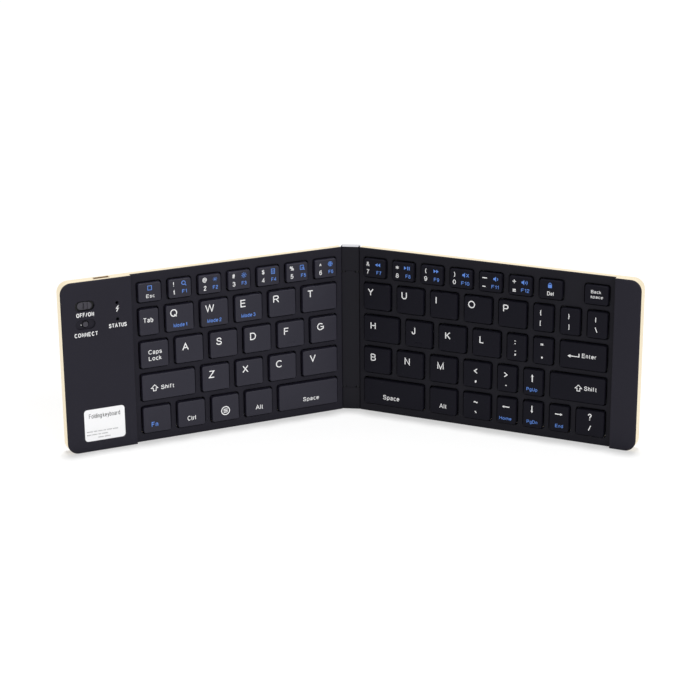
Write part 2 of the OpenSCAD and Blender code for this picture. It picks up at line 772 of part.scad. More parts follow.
// Flat cable from the right half's film, through the spine, to the left half's film
function turned(p, a) = [p[0] * cos(a) - p[1] * sin(a), p[0] * sin(a) + p[1] * cos(a)];
function left_point(p) = turned([-p[0], p[1]], left_fold) - [hinge_x, 0];
function right_point(p) = turned(p, -right_fold) + [hinge_x, 0];
module flex_cable() {
    run = [[layer_in + 0.7, film_y - cable_t], [layer_in, film_y - cable_t],
        [half_in + cable_out, cable_y + cable_out], [half_in - cable_in, cable_y], [0, cable_y]];
    path = concat([for (p = run) left_point(p)], [for (i = [len(run) - 1:-1:0]) right_point(run[i])]);
    color("sienna") translate([0, 0, cable_z - cable_h / 2]) linear_extrude(cable_h)
        polygon(concat(path, [for (i = [len(path) - 1:-1:0]) path[i] + [0, cable_t]]));
}

spine_channel();
spine_cover_top();
spine_cover_middle();
spine_cover_bottom();
hinge_pins();
spine_screws();
flex_cable();
left_back_cover();
left_key_frame();
left_key_plate();
left_membrane();
left_domes();
left_scissor_links();
left_hinge_lugs();
left_screws();
left_feet();
main_board();
battery();
usb_socket();
power_switch();
tact_switch();
indicator_leds();
label_sticker();
power_knob();
connect_button();
right_back_cover();
right_key_frame();
right_key_plate();
right_membrane();
right_domes();
right_scissor_links();
right_hinge_lugs();
right_screws();
right_feet();
for (bank = LEFT_BANKS) left_half() keycaps(LEFT_KEYS, bank);
for (bank = RIGHT_BANKS) right_half() keycaps(RIGHT_KEYS, bank);
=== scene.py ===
# %% [markdown]
# # A folding keyboard, standing half open
# The engineer's model gives every piece its real size and place, and says how the two halves
# turn on the spine. It is drawn plainly, though: sharp edges and no print. Here each piece that
# the eye meets is modelled again with soft edges and real surfaces, and rides on the same body.
# We load the model first, because every later size is read from it.

# %% Load the frame
import json
import math

import bmesh
import bpy
from mathutils import Matrix, Vector

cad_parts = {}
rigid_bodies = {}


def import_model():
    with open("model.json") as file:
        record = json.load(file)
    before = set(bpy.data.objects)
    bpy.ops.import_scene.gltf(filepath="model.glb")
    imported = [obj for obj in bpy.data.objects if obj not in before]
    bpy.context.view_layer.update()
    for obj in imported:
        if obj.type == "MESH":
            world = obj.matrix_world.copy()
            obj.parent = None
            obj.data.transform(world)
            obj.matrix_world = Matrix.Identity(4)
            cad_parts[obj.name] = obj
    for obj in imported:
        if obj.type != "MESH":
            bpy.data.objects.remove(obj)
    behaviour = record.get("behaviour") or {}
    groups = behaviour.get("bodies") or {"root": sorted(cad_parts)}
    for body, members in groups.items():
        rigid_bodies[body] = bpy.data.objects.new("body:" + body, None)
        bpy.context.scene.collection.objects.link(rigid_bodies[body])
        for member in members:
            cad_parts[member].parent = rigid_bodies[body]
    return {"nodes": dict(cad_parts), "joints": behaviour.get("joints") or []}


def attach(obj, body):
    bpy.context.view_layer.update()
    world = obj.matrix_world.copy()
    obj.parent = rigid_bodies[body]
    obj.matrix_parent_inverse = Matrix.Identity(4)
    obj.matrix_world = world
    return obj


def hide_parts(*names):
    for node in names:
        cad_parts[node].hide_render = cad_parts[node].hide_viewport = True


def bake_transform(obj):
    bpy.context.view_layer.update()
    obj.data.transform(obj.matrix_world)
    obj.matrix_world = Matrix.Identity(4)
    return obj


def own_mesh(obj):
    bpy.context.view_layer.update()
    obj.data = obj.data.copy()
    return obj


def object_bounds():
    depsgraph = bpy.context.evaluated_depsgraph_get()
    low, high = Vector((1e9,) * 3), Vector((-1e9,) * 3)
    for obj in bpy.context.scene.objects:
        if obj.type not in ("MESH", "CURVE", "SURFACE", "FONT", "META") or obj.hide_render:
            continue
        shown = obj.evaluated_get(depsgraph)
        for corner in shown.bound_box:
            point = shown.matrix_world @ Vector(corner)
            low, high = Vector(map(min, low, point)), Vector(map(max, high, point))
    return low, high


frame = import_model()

cad_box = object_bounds()
joints = {j["name"]: j for j in frame["joints"]}

# %% [markdown]
# ## Where things go
# The keyboard is hard to model where it stands, because both halves are turned. A maker would
# lay each half flat on the bench, so we do the same: a piece is modelled in millimetres with its
# half lying flat, X along the half, Z up the keys, and the front facing -Y. One matrix per half
# then turns it to its fold, moves it to its hinge and scales it to metres. The fold angle is the
# lower end of each hinge's range, because there the half is flat.

# %% Benches for the halves and the spine
MM_PER_M = 1000
MM = Matrix.Scale(1 / MM_PER_M, 4)
bench = {"spine": MM}
for side in ("left", "right"):
    hinge = joints["fold_" + side]
    fold = math.radians(-hinge["range_deg"][0]) * hinge["axis"][2]
    bench[side] = Matrix.Translation(hinge["pos_m"]) @ Matrix.Rotation(fold, 4, "Z") @ MM
    print(side, "half turned by", round(math.degrees(fold), 1), "degrees")


def place(piece, where):
    """Moves a finished piece from the bench to its place, inside its mesh."""
    piece.data.transform(bench[where])
    piece.data.update()


# %% [markdown]
# ## Measuring the engineer's parts
# Nothing is measured by eye. A node's corners on the bench are read from its mesh. A bank of
# keys is one node with several caps, so its loose parts are told apart by walking from vertex to
# vertex along shared edges.

# %% Measuring tools
NEAR = 0.01                 # mm: closer than this is the same place


def bench_points(node, where):
    """The node's vertices in bench millimetres."""
    back = bench[where].inverted()
    return [back @ v.co for v in frame["nodes"][node].data.vertices]


def corners(points):
    """Lowest and highest corner of some points."""
    low = Vector([min(p[i] for p in points) for i in range(3)])
    high = Vector([max(p[i] for p in points) for i in range(3)])
    return low, high


def bench_box(node, where):
    return corners(bench_points(node, where))


channel_low, channel_high = bench_box("spine_channel", "spine")
print("the spine's channel is", [round(v, 2) for v in channel_high - channel_low], "mm")

# %% The solids of a node
SAME_POINT = 1e-6           # m: corners of loose triangles this close are one point


def loose_boxes(node, where):
    """Corners of each separate solid of a node, from left to right and from top to bottom."""
    mesh = bmesh.new()
    mesh.from_mesh(frame["nodes"][node].data)
    bmesh.ops.remove_doubles(mesh, verts=mesh.verts, dist=SAME_POINT)
    back = bench[where].inverted()
    waiting = set(mesh.verts)
    boxes = []
    while waiting:
        found = [waiting.pop()]
        for vert in found:
            near = [edge.other_vert(vert) for edge in vert.link_edges]
            fresh = [v for v in near if v in waiting]
            waiting.difference_update(fresh)
            found.extend(fresh)
        boxes.append(corners([back @ v.co for v in found]))
    mesh.free()
    return sorted(boxes, key=lambda b: (-round(b[1].z), b[0].x))


print("the spine has", len(loose_boxes("hinge_pins", "spine")), "hinge pins")

# %% Faces and edges that every piece is built on
half_low, half_high = bench_box("right_back_cover", "right")
cap_low, cap_high = bench_box("key_enter", "right")
INNER_END = half_low.x              # a half's hinged end, from its hinge axis
OUTER_END = half_high.x
TALL = half_high.z                  # long edge to long edge
BACK = half_high.y                  # the cover's back face
RAISED = bench_box("right_key_frame", "right")[0].y        # face of the raised end
BED = bench_box("spine_cover_middle", "spine")[0].y        # face of the key bed and spine
CAP_FACE, CAP_FOOT = cap_low.y, cap_high.y
OUTER_R = 5                         # round outer corners of a half
WALL = 0.8                          # the metal cover's wall
LIP = 0.8                           # the moulding's lip that lies on the metal wall
WEB = 1.6                           # depth of the moulding between the keys
step_at = {}
for side in ("left", "right"):
    raised = [abs(p.x) for p in bench_points(side + "_key_frame", side) if p.y < RAISED + NEAR]
    step_at[side] = min(raised)
print("half", round(OUTER_END - INNER_END, 2), "mm long, raised ends from", step_at)

# %% [markdown]
# ## Modelling by hand, in code
# Each helper is one thing a modeller does: add a block, pick some edges or faces by where they
# are, round them, inset or extrude them, cut one shape with others.

# %% Starting a piece
def deselect():
    if bpy.context.object and bpy.context.object.mode != "OBJECT":
        bpy.ops.object.mode_set(mode="OBJECT")
    bpy.ops.object.select_all(action="DESELECT")


def block(name, low, high):
    """A box from corner to corner, ready to be shaped."""
    deselect()
    low, high = Vector(low), Vector(high)
    bpy.ops.mesh.primitive_cube_add(size=1, location=(low + high) / 2, scale=high - low)
    bpy.ops.object.transform_apply(location=True, rotation=True, scale=True)
    piece = bpy.context.object
    piece.name = name
    return piece


def slab(name, side, u0, u1, y0, y1, z0, z1):
    """A block of one half, from u0 to u1 along it, counted outwards from its hinge."""
    x0, x1 = (u0, u1) if side == "right" else (-u1, -u0)
    return block(name, (x0, y0, z0), (x1, y1, z1))


def drum(name, x, y, z, r, length, sides=24):
    """A cylinder along +Y that starts at y."""
    deselect()
    bpy.ops.mesh.primitive_cylinder_add(vertices=sides, radius=r, depth=length,
                                        location=(x, y + length / 2, z),
                                        rotation=(math.pi / 2, 0, 0))
    bpy.ops.object.transform_apply(location=True, rotation=True, scale=True)
    piece = bpy.context.object
    piece.name = name
    return piece


# %% Picking and shaping
def edit(piece, mode):
    deselect()
    bpy.context.view_layer.objects.active = piece
    piece.select_set(True)
    bpy.ops.object.mode_set(mode="EDIT")
    bpy.ops.mesh.select_mode(type=mode)
    bpy.ops.mesh.select_all(action="DESELECT")
    return bmesh.from_edit_mesh(piece.data)


def pick_edges(piece, wanted):
    """Selects the edges whose middle and direction satisfy wanted."""
    mesh = edit(piece, "EDGE")
    for edge in mesh.edges:
        a, b = edge.verts[0].co, edge.verts[1].co
        edge.select_set(wanted((a + b) / 2, (b - a).normalized()))
    bmesh.update_edit_mesh(piece.data)


def pick_faces(piece, wanted):
    """Selects the faces whose middle and normal satisfy wanted."""
    mesh = edit(piece, "FACE")
    for face in mesh.faces:
        face.select_set(wanted(face.calc_center_median(), face.normal))
    bmesh.update_edit_mesh(piece.data)


# %% Rounding edges and pushing faces in
def round_edges(piece, wanted, r, steps):
    pick_edges(piece, wanted)
    bpy.ops.mesh.bevel(offset=r, segments=steps, affect="EDGES", clamp_overlap=True)
    deselect()


def round_rim(r, steps):
    """Rounds the edges all round the faces that are selected."""
    bpy.ops.mesh.region_to_loop()
    bpy.ops.mesh.bevel(offset=r, segments=steps, affect="EDGES", clamp_overlap=True)
    deselect()


def push_in(depth, border):
    """Leaves a border round the selected faces and extrudes the rest along +Y."""
    bpy.ops.mesh.inset(thickness=border)
    bpy.ops.mesh.extrude_region_move(TRANSFORM_OT_translate={"value": (0, depth, 0)})
    deselect()


# %% Which way an edge or a face points
ALONG = 0.99                # a direction's share along an axis that counts as parallel


def along_y(at, way):
    return abs(way.y) > ALONG


def along_z(at, way):
    return abs(way.z) > ALONG


def facing_front(at, normal):
    return normal.y < -ALONG


def facing_back(at, normal):
    return normal.y > ALONG


def facing_up(at, normal):
    return normal.z > ALONG


# %% Joining and cutting
def join(pieces, name):
    deselect()
    for piece in pieces:
        piece.select_set(True)
    bpy.context.view_layer.objects.active = pieces[0]
    if len(pieces) > 1:
        bpy.ops.object.join()
    pieces[0].name = name
    return pieces[0]


def combine(piece, others, operation):
    """Adds others to a piece or cuts them from it, and removes them."""
    group = bpy.data.collections.new("tools")
    for other in others:
        group.objects.link(other)
    deselect()
    bpy.context.view_layer.objects.active = piece
    piece.select_set(True)
    cut = piece.modifiers.new("cut", "BOOLEAN")
    cut.operation = operation
    cut.operand_type = "COLLECTION"
    cut.collection = group
    cut.solver = "EXACT"
    bpy.ops.object.modifier_apply(modifier=cut.name)
    for other in others:
        bpy.data.objects.remove(other)
    bpy.data.collections.remove(group)
    return piece


# %% Smoothing and finishing
def smooth(piece, angle=35):
    deselect()
    bpy.context.view_layer.objects.active = piece
    piece.select_set(True)
    bpy.ops.object.shade_smooth_by_angle(angle=math.radians(angle), keep_sharp_edges=True)
    deselect()


def finish(piece, material, where, body, replaces=()):
    """Gives a piece its material and place, and says which body it moves with."""
    piece.data.materials.clear()
    piece.data.materials.append(material)
    smooth(piece)
    place(piece, where)
    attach(piece, body)
    if replaces:
        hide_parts(*replaces)
    print(piece.name, "has", len(piece.data.polygons), "faces")
    return piece


# %% [markdown]
# ## Writing materials as sums
# A material's pattern is arithmetic on noise, and node links hide that. A small class wraps a
# node's output so that `1 - mask * 0.3` reads as it would on paper and adds the Math nodes for
# us. Every other node comes from one method.

# %% A value that can be summed
class Value:
    """One number of a shader that varies over the surface."""

    def __init__(self, paint, socket):
        self.paint = paint
        self.socket = socket

    def math(self, operation, a, b=0.0):
        node = self.paint.add("ShaderNodeMath", {"operation": operation}, {0: a, 1: b})
        return Value(self.paint, node.outputs[0])

    def __add__(self, other):
        return self.math("ADD", self, other)

    def __radd__(self, other):
        return self.math("ADD", other, self)

    def __sub__(self, other):
        return self.math("SUBTRACT", self, other)

    def __rsub__(self, other):
        return self.math("SUBTRACT", other, self)

    def __mul__(self, other):
        return self.math("MULTIPLY", self, other)

    def __rmul__(self, other):
        return self.math("MULTIPLY", other, self)

    def or_(self, other):
        """The higher of two values."""
        return self.math("MAXIMUM", self, other)


# %% The nodes of a material
class Paint:
    """The nodes of a material, or of the world, under construction."""

    def __init__(self, owner):
        self.material = owner
        owner.use_nodes = True
        self.tree = owner.node_tree
        self.shader = self.tree.nodes.get("Principled BSDF")

    def add(self, kind, settings=None, inputs=None):
        """Adds a node: its settings first, then what goes into its sockets."""
        node = self.tree.nodes.new(kind)
        for key, value in (settings or {}).items():
            setattr(node, key, value)
        for key, value in (inputs or {}).items():
            self.feed(node.inputs[key], value)
        return node

    def feed(self, socket, value):
        if isinstance(value, Value):
            value = value.socket
        if isinstance(value, bpy.types.NodeSocket):
            self.tree.links.new(value, socket)
        else:
            socket.default_value = value

    def noise(self, size_mm, detail=2.0, stretch=(1, 1, 1)):
        """Noise with features of about size_mm, drawn out along an axis by stretch."""
        place = self.add("ShaderNodeTexCoord").outputs["Object"]
        mapping = self.add("ShaderNodeMapping", None,
                           {"Vector": place, "Scale": [1 / s for s in stretch]})
        node = self.add("ShaderNodeTexNoise", None, {"Vector": mapping.outputs[0],
                                                     "Scale": MM_PER_M / size_mm,
                                                     "Detail": detail})
        return Value(self, node.outputs["Fac"])

    def blend(self, amount, one, two):
        """A colour between one and two."""
        node = self.add("ShaderNodeMix", {"data_type": "RGBA"},
                        {0: amount, 6: (*one, 1.0), 7: (*two, 1.0)})
        return node.outputs[2]

    def bump(self, height, depth_mm):
        node = self.add("ShaderNodeBump", None,
                        {"Height": height, "Distance": depth_mm / MM_PER_M, "Strength": 1.0})
        self.feed(self.shader.inputs["Normal"], node.outputs["Normal"])

    def set(self, **values):
        for name, value in values.items():
            self.feed(self.shader.inputs[name.replace("_", " ")], value)
        return self.material


# %% [markdown]
# ## The black moulding
# The key bed and raised ends are moulded in black plastic from a spark-eroded tool, which leaves
# a fine even grain and a matt face. A scanned picture could show it, but grain is only noise:
# fine noise as bump, and a slow drift in colour and roughness where hands have polished it.

# %% Plastics
WEAR_MM = 18                # size of the patches that hands have polished
WEAR = 0.12                 # how much the roughness differs between them


def moulded(name, dark, light, grain_mm, grain_depth, rough, gloss):
    paint = Paint(bpy.data.materials.new(name))
    grain = paint.noise(grain_mm, 3)
    drift = paint.noise(WEAR_MM, 3)
    paint.bump(grain, grain_depth)
    return paint.set(Base_Color=paint.blend(drift, dark, light),
                     Roughness=rough - WEAR / 2 + drift * WEAR, Specular_IOR_Level=gloss)


# the grain's size and depth in mm, the roughness and the gloss
ERODED = {"grain_mm": 0.35, "grain_depth": 0.006, "rough": 0.56, "gloss": 0.14}
SATIN = {"grain_mm": 0.25, "grain_depth": 0.003, "rough": 0.44, "gloss": 0.28}
MATT = {"grain_mm": 0.25, "grain_depth": 0.003, "rough": 0.50, "gloss": 0.07}
SMOOTH = {"grain_mm": 0.3, "grain_depth": 0.004, "rough": 0.5, "gloss": 0.12}
GREY = {"grain_mm": 0.25, "grain_depth": 0.003, "rough": 0.45, "gloss": 0.25}
# painted light and shade: the same black plastic in two tones, the left half's painted lighter and
# the right half's darker, for the light that falls on each half
lit_and_shaded_bed_plastic = {
    "left": moulded("left bed plastic", (0.0112, 0.0104, 0.0170), (0.0142, 0.0132, 0.0206),
                    **ERODED),
    "right": moulded("right bed plastic", (0.0077, 0.0072, 0.0117), (0.0098, 0.0092, 0.0141),
                     **ERODED),
}
# painted light: a paler copy of the bed's plastic for the raised end of the same moulding
raised_end_plastic_painted_lit = moulded("raised end plastic", (0.0148, 0.0138, 0.0214), (0.0178, 0.0166, 0.0256),
                         **ERODED)
# painted light and shade: the caps' one plastic in two tones, the left caps painted lighter and the
# right caps darker, for the light that falls on each half; their gloss also differs
left_key_plastic_painted_lit = moulded("satin key plastic", (0.0145, 0.0134, 0.0240), (0.0175, 0.0162, 0.0284),
                           **SATIN)
right_key_plastic_painted_shaded = moulded("matt key plastic", (0.0068, 0.0065, 0.0109), (0.0088, 0.0084, 0.0135),
                            **MATT)
spine_plastic = moulded("spine plastic", (0.0082, 0.0077, 0.0115), (0.0110, 0.0104, 0.0148),
                        **SMOOTH)
grey_plastic = moulded("grey plastic", (0.046, 0.043, 0.055), (0.058, 0.055, 0.069), **GREY)
print("plastics:", [m.name for m in (raised_end_plastic_painted_lit, left_key_plastic_painted_lit, right_key_plastic_painted_shaded,
                                     spine_plastic, grey_plastic)])

# %% [markdown]
# ## The gold cover
# The backs are aluminium, blasted with fine beads and anodised a pale champagne gold. Blasting
# scatters the reflection, so the metal is a soft sheen and not a mirror. Bead blasting is finer
# than the moulding's grain, and the dye takes a little unevenly, which is the slow drift.

# %% Metals
DYE_MM = 25                 # size of the patches that took more or less dye
SHEEN = 0.1                 # how much the roughness differs over the grain


def metal(name, one, two, grain_mm, grain_depth, rough, stretch=(1, 1, 1)):
    paint = Paint(bpy.data.materials.new(name))
    grain = paint.noise(grain_mm, 2, stretch)
    drift = paint.noise(DYE_MM, 2)
    paint.bump(grain, grain_depth)
    return paint.set(Base_Color=paint.blend(drift, one, two), Metallic=1.0,
                     Roughness=rough - SHEEN / 2 + grain * SHEEN)


# name, two colours, the grain's size and depth in mm, the roughness and how the grain is drawn out
gold = metal("gold anodised aluminium", (0.84, 0.73, 0.52), (0.90, 0.80, 0.60), 0.12, 0.003, 0.40)
silver = metal("bare aluminium", (0.60, 0.60, 0.64), (0.68, 0.68, 0.71), 0.15, 0.003, 0.34)
steel = metal("plated steel", (0.50, 0.50, 0.52), (0.60, 0.60, 0.61), 0.3, 0.002, 0.28, (6, 1, 1))
dark_steel = metal("blackened steel", (0.025, 0.025, 0.028), (0.035, 0.035, 0.038), 0.3, 0.002, 0.5)
socket_plating = metal("socket plating", (0.60, 0.46, 0.30), (0.70, 0.55, 0.38), 0.2, 0.002, 0.38)
print("metals:", [m.name for m in (gold, silver, steel, dark_steel, socket_plating)])

# %% [markdown]
# ## Print, paper and rubber
# Legends are screen printed in white and blue ink, which lies on the cap as a thin film. The
# label is coated paper: almost smooth, with faint fibres. Rubber feet are matt and a bit dusty.

# %% Print, paper, rubber and the small inside finishes
def plain(name, one, two, rough, grain_mm=0.4, grain_depth=0.004, **more):
    paint = Paint(bpy.data.materials.new(name))
    grain = paint.noise(grain_mm, 2)
    paint.bump(grain, grain_depth)
    return paint.set(Base_Color=paint.blend(paint.noise(3 * grain_mm), one, two), Roughness=rough,
                     **more)


# name, two colours and the roughness, then the grain's size and depth in mm where they differ
white_ink = plain("white ink", (0.88, 0.88, 0.88), (0.94, 0.94, 0.94), 0.5)
blue_ink = plain("blue ink", (0.095, 0.245, 0.74), (0.115, 0.285, 0.82), 0.5)
grey_ink = plain("dark grey ink", (0.06, 0.06, 0.065), (0.09, 0.09, 0.095), 0.6)
pale_ink = plain("pale grey ink", (0.30, 0.30, 0.31), (0.38, 0.38, 0.39), 0.6)
paper = plain("coated paper", (0.92, 0.92, 0.93), (0.96, 0.96, 0.97), 0.45, 0.2, 0.002)
rubber = plain("rubber", (0.018, 0.018, 0.019), (0.030, 0.030, 0.031), 0.75, 0.3, 0.01)
film = plain("switch film", (0.020, 0.020, 0.022), (0.030, 0.030, 0.032), 0.4, 0.8, 0.002)
solder_mask = plain("solder mask", (0.012, 0.12, 0.045), (0.02, 0.17, 0.07), 0.3, 0.5, 0.003)
pouch = plain("cell pouch", (0.50, 0.51, 0.53), (0.60, 0.61, 0.63), 0.35, 1.5, 0.02, Metallic=0.8)
acetal = plain("black acetal", (0.012, 0.012, 0.013), (0.018, 0.018, 0.019), 0.5)
lamp = plain("clear lamp", (0.70, 0.72, 0.70), (0.80, 0.82, 0.80), 0.12)
# black for the socket's tongue, and painted shade where the knob's plate and the button's collar
# lie in shadow
black_and_painted_shade = plain("shadow black", (0.008, 0.008, 0.009), (0.012, 0.012, 0.013), 0.7)
print("ink, paper, rubber and inside finishes made")

# %% [markdown]
# ## The key bed and the raised end
# The front of a half is one moulding: a thin bed with a window for each key, and a raised end
# that houses the electronics. It could be cut from a single box, but its parts have different
# depths, so it is easier to shape a few slabs, soften the edges that are seen, and join them.
# The windows are then cut with one cutter per size of key. The cutter flares at its front, which
# leaves the small chamfer that catches the light round each window.

# %% Window cutter
CAP_GAP = 0.55              # between a cap and its window
CAP_R = 0.9                 # round corners of a cap
CHAMFER = 0.14
CAP_STEPS = 6               # faces of a cap's or a window's round corner
cutters = {}


def window_cutter(width, height, r, mouth, depth):
    """A rounded plug that flares just below the surface at mouth, centred on X and Z."""
    size = (round(width, 2), round(height, 2), r, mouth, depth)
    if size not in cutters:
        half = Vector((width / 2, 0, height / 2))
        cutter = block("cutter", -half + Vector((0, mouth + CHAMFER, 0)),
                       half + Vector((0, mouth + depth, 0)))
        round_edges(cutter, along_y, r, CAP_STEPS)
        pick_faces(cutter, facing_front)
        bpy.ops.mesh.extrude_region_move(TRANSFORM_OT_translate={"value": (0, -CHAMFER, 0)})
        bpy.ops.transform.resize(value=(1 + 2 * CHAMFER / width, 1, 1 + 2 * CHAMFER / height),
                                 center_override=(0, 0, 0))
        bpy.ops.mesh.extrude_region_move(TRANSFORM_OT_translate={"value": (0, -1, 0)})
        deselect()
        cutters[size] = cutter
    return cutters[size]


# %% Copies, and the middle of a box
def copy_at(template, name, x, z):
    """A copy with a mesh of its own, moved along the half and up."""
    copy = template.copy()
    copy.data = template.data.copy()
    copy.name = name
    copy.data.transform(Matrix.Translation((x, 0, z)))
    bpy.context.scene.collection.objects.link(copy)
    return copy


def middle(box):
    return (box[0] + box[1]) / 2


# %% Keys of each half
banks = {
    side: [n for n in frame["nodes"] if n.startswith("key")
           and joints["press_" + n.split("_", 1)[1]]["parent"] == side + "_half"]
    for side in ("left", "right")
}
key_boxes = {bank: loose_boxes(bank, side) for side in banks for bank in banks[side]}
for side in banks:
    print(side, "half:", sum(len(key_boxes[b]) for b in banks[side]), "keys in",
          len(banks[side]), "banks")

# %% Places of the controls on the left half
knob_box = bench_box("power_knob", "left")
button_box = bench_box("connect_button", "left")
lamp_boxes = loose_boxes("indicator_leds", "left")
OVAL = (9, 4.5)             # the slot of the switch and the dish of the button
BUTTON_R = 1.25
HOLE_R = 1.6                # the hole that the button stands in
DISH = 0.7                  # how deep the dish is
button_at = middle(button_box)
switch_at = Vector((button_at.x, 0, middle(knob_box).z))
print("switch at", [round(v, 2) for v in switch_at], "button at", [round(v, 2) for v in button_at])

# %% The moulding of one half
RAISED_WALL = 1.4
RISER_WALL = 1.2            # the upright between the bed and the raised end
EDGE = WALL + 0.1           # from the outside to what sits inside the metal wall
WEB_START, WEB_END = 1.35, 0.5       # from the hinged end, and into the riser
OVERLAP = 0.4               # slabs that are joined run this far into each other
BED_SOFT, RAISED_SOFT = 0.3, 0.45    # how far the seen edges are rounded
CORNER_STEPS = 12           # faces of a round outer corner


def moulding(side):
    step = step_at[side]
    bed = slab("bed", side, INNER_END, step, BED, BED + LIP, 0, TALL)
    round_edges(bed, lambda m, way: abs(m.y - BED) < NEAR and abs(abs(m.x) - step) > NEAR,
                BED_SOFT, steps=3)
    web = slab("web", side, INNER_END + WEB_START, step + WEB_END, BED + OVERLAP, BED + WEB,
               EDGE, TALL - EDGE)
    riser = slab("riser", side, step, step + RISER_WALL, RAISED + OVERLAP, BED + LIP,
                 EDGE, TALL - EDGE)
    wall = slab("wall", side, step, OUTER_END - EDGE, RAISED + OVERLAP, RAISED + RAISED_WALL,
                EDGE, TALL - EDGE)
    round_edges(wall, lambda m, way: along_y(m, way) and abs(m.x) > step + 1, OUTER_R - EDGE,
                steps=8)
    lip = slab("lip", side, step, OUTER_END, RAISED, RAISED + LIP, 0, TALL)
    round_edges(lip, lambda m, way: along_y(m, way) and abs(m.x) > step + 1, OUTER_R,
                CORNER_STEPS)
    pick_faces(lip, facing_front)
    round_rim(RAISED_SOFT, steps=4)
    return combine(lip, [bed, web, riser, wall], "UNION")


# %% The windows of one half
def cut_windows(piece, side):
    holes = []
    for bank in banks[side]:
        for low, high in key_boxes[bank]:
            width, height = high.x - low.x + 2 * CAP_GAP, high.z - low.z + 2 * CAP_GAP
            cutter = window_cutter(width, height, CAP_R + CAP_GAP, BED, WEB + 1)
            holes.append(copy_at(cutter, "window", (low.x + high.x) / 2, (low.z + high.z) / 2))
    return combine(piece, holes, "DIFFERENCE")


# %% Right moulding
PALE_DEEP = 0.3             # how far down its soft edge the raised end is painted paler


def repaint_raised_end(piece, side):
    """Paints the raised end a little paler than the bed: painted light on the same plastic."""
    piece.data.materials.append(raised_end_plastic_painted_lit)
    back = bench[side].inverted()
    for face in piece.data.polygons:
        at = back @ face.center
        if abs(at.x) > step_at[side] and at.y < RAISED + PALE_DEEP:
            face.material_index = 1


right_front = cut_windows(moulding("right"), "right")
right_front.name = "right_front_moulding"
# painted shade: the right bed takes the darker copy of the plastic, and its raised end a paler
# copy, painted light
finish(right_front, lit_and_shaded_bed_plastic["right"], "right", "right_half", ["right_key_frame"])
repaint_raised_end(right_front, "right")

# %% [markdown]
# ## The controls' openings
# The left raised end has an oval slot for the power switch, an oval dish with a round hole for
# the connect button, and two small lamp holes. They use the same flared cutter as the keys,
# with its corners rounded until it is an oval or a circle.

# %% Left moulding
left_front = cut_windows(moulding("left"), "left")
LAMP_R = 0.7
THROUGH = 3                 # deep enough to go right through the wall


def oval_cutter(width, height, mouth, depth):
    """A cutter whose corners meet, less a hair, so that no edge has no length."""
    return window_cutter(width, height, height / 2 - NEAR, mouth, depth)


slot_cutter = oval_cutter(*OVAL, RAISED, THROUGH)
dish_cutter = oval_cutter(*OVAL, RAISED, DISH)
button_cutter = oval_cutter(2 * HOLE_R, 2 * HOLE_R, RAISED + DISH, THROUGH)
lamp_cutter = oval_cutter(2 * LAMP_R, 2 * LAMP_R, RAISED, THROUGH)
openings = [copy_at(slot_cutter, "slot", switch_at.x, switch_at.z),
            copy_at(dish_cutter, "dish", button_at.x, button_at.z)]
openings += [copy_at(lamp_cutter, "lamp hole", middle(b).x, middle(b).z) for b in lamp_boxes]
combine(left_front, openings, "DIFFERENCE")
combine(left_front, [copy_at(button_cutter, "hole", button_at.x, button_at.z)], "DIFFERENCE")
left_front.name = "left_front_moulding"
# painted light: the left bed takes the lighter copy of the plastic, and its raised end a paler copy
# still
finish(left_front, lit_and_shaded_bed_plastic["left"], "left", "left_half", ["left_key_frame"])
repaint_raised_end(left_front, "left")
for cutter in cutters.values():
    bpy.data.objects.remove(cutter)

# %% [markdown]
# ## The gold covers
# Each cover is a shallow tray pressed from aluminium sheet. Its back edges are rolled round and
# its walls stand higher round the raised end. A sheet with Solidify would do for the tray alone,
# but the stepped wall is simpler as two solid slabs, joined and then hollowed in one cut.

# %% Cover of one half
SEAM = 0.8                  # height of the slots that the hinge lugs pass through
LUG_SLOT = (-0.3, 1.0)      # front and back of those slots
CABLE_SLOT_BACK, CABLE_ROOM = 1.65, 1
ROLLED = 0.9                # how far the back edges are rolled round
HEAD_ROOM, SCREW_HOLE_R = 0.05, 0.6
HEAD_DEEP = 0.4             # a screw's head, sunk level with the back
seams = sorted({round(middle(b).z, 2) for b in loose_boxes("hinge_pins", "spine")})
cable_low, cable_high = bench_box("flex_cable", "spine")
screw_boxes = {side: loose_boxes(side + "_screws", side) for side in ("left", "right")}


def cover(side):
    step = step_at[side]
    tray = slab("tray", side, INNER_END, OUTER_END, BED + LIP, BACK, 0, TALL)
    round_edges(tray, lambda m, way: along_y(m, way) and abs(m.x) > step, OUTER_R, CORNER_STEPS)
    pick_faces(tray, facing_back)
    round_rim(ROLLED, steps=5)
    wall = slab("wall", side, step, OUTER_END, RAISED + LIP, BED + LIP + 1, 0, TALL)
    round_edges(wall, lambda m, way: along_y(m, way) and abs(m.x) > step + 1, OUTER_R,
                CORNER_STEPS)
    combine(tray, [wall], "UNION")
    hollow = slab("hollow", side, INNER_END + WALL, OUTER_END - WALL, RAISED - 1, BACK - WALL,
                  WALL, TALL - WALL)
    round_edges(hollow, lambda m, way: along_y(m, way) and abs(m.x) > step, OUTER_R - WALL,
                CORNER_STEPS)
    cuts = [hollow]
    for z in seams:
        cuts.append(slab("lug slot", side, INNER_END - 1, INNER_END + 1, *LUG_SLOT,
                         z - SEAM / 2, z + SEAM / 2))
    cuts.append(slab("cable slot", side, INNER_END - 1, INNER_END + 1, BED - 1, CABLE_SLOT_BACK,
                     cable_low.z - CABLE_ROOM, cable_high.z + CABLE_ROOM))
    for low, high in screw_boxes[side]:
        at = (low + high) / 2
        head_r = (high.x - low.x) / 2
        cuts.append(drum("recess", at.x, BACK - HEAD_DEEP, at.z, head_r + HEAD_ROOM, 1))
        cuts.append(drum("screw hole", at.x, BACK - 2, at.z, SCREW_HOLE_R, 3))
    return combine(tray, cuts, "DIFFERENCE")


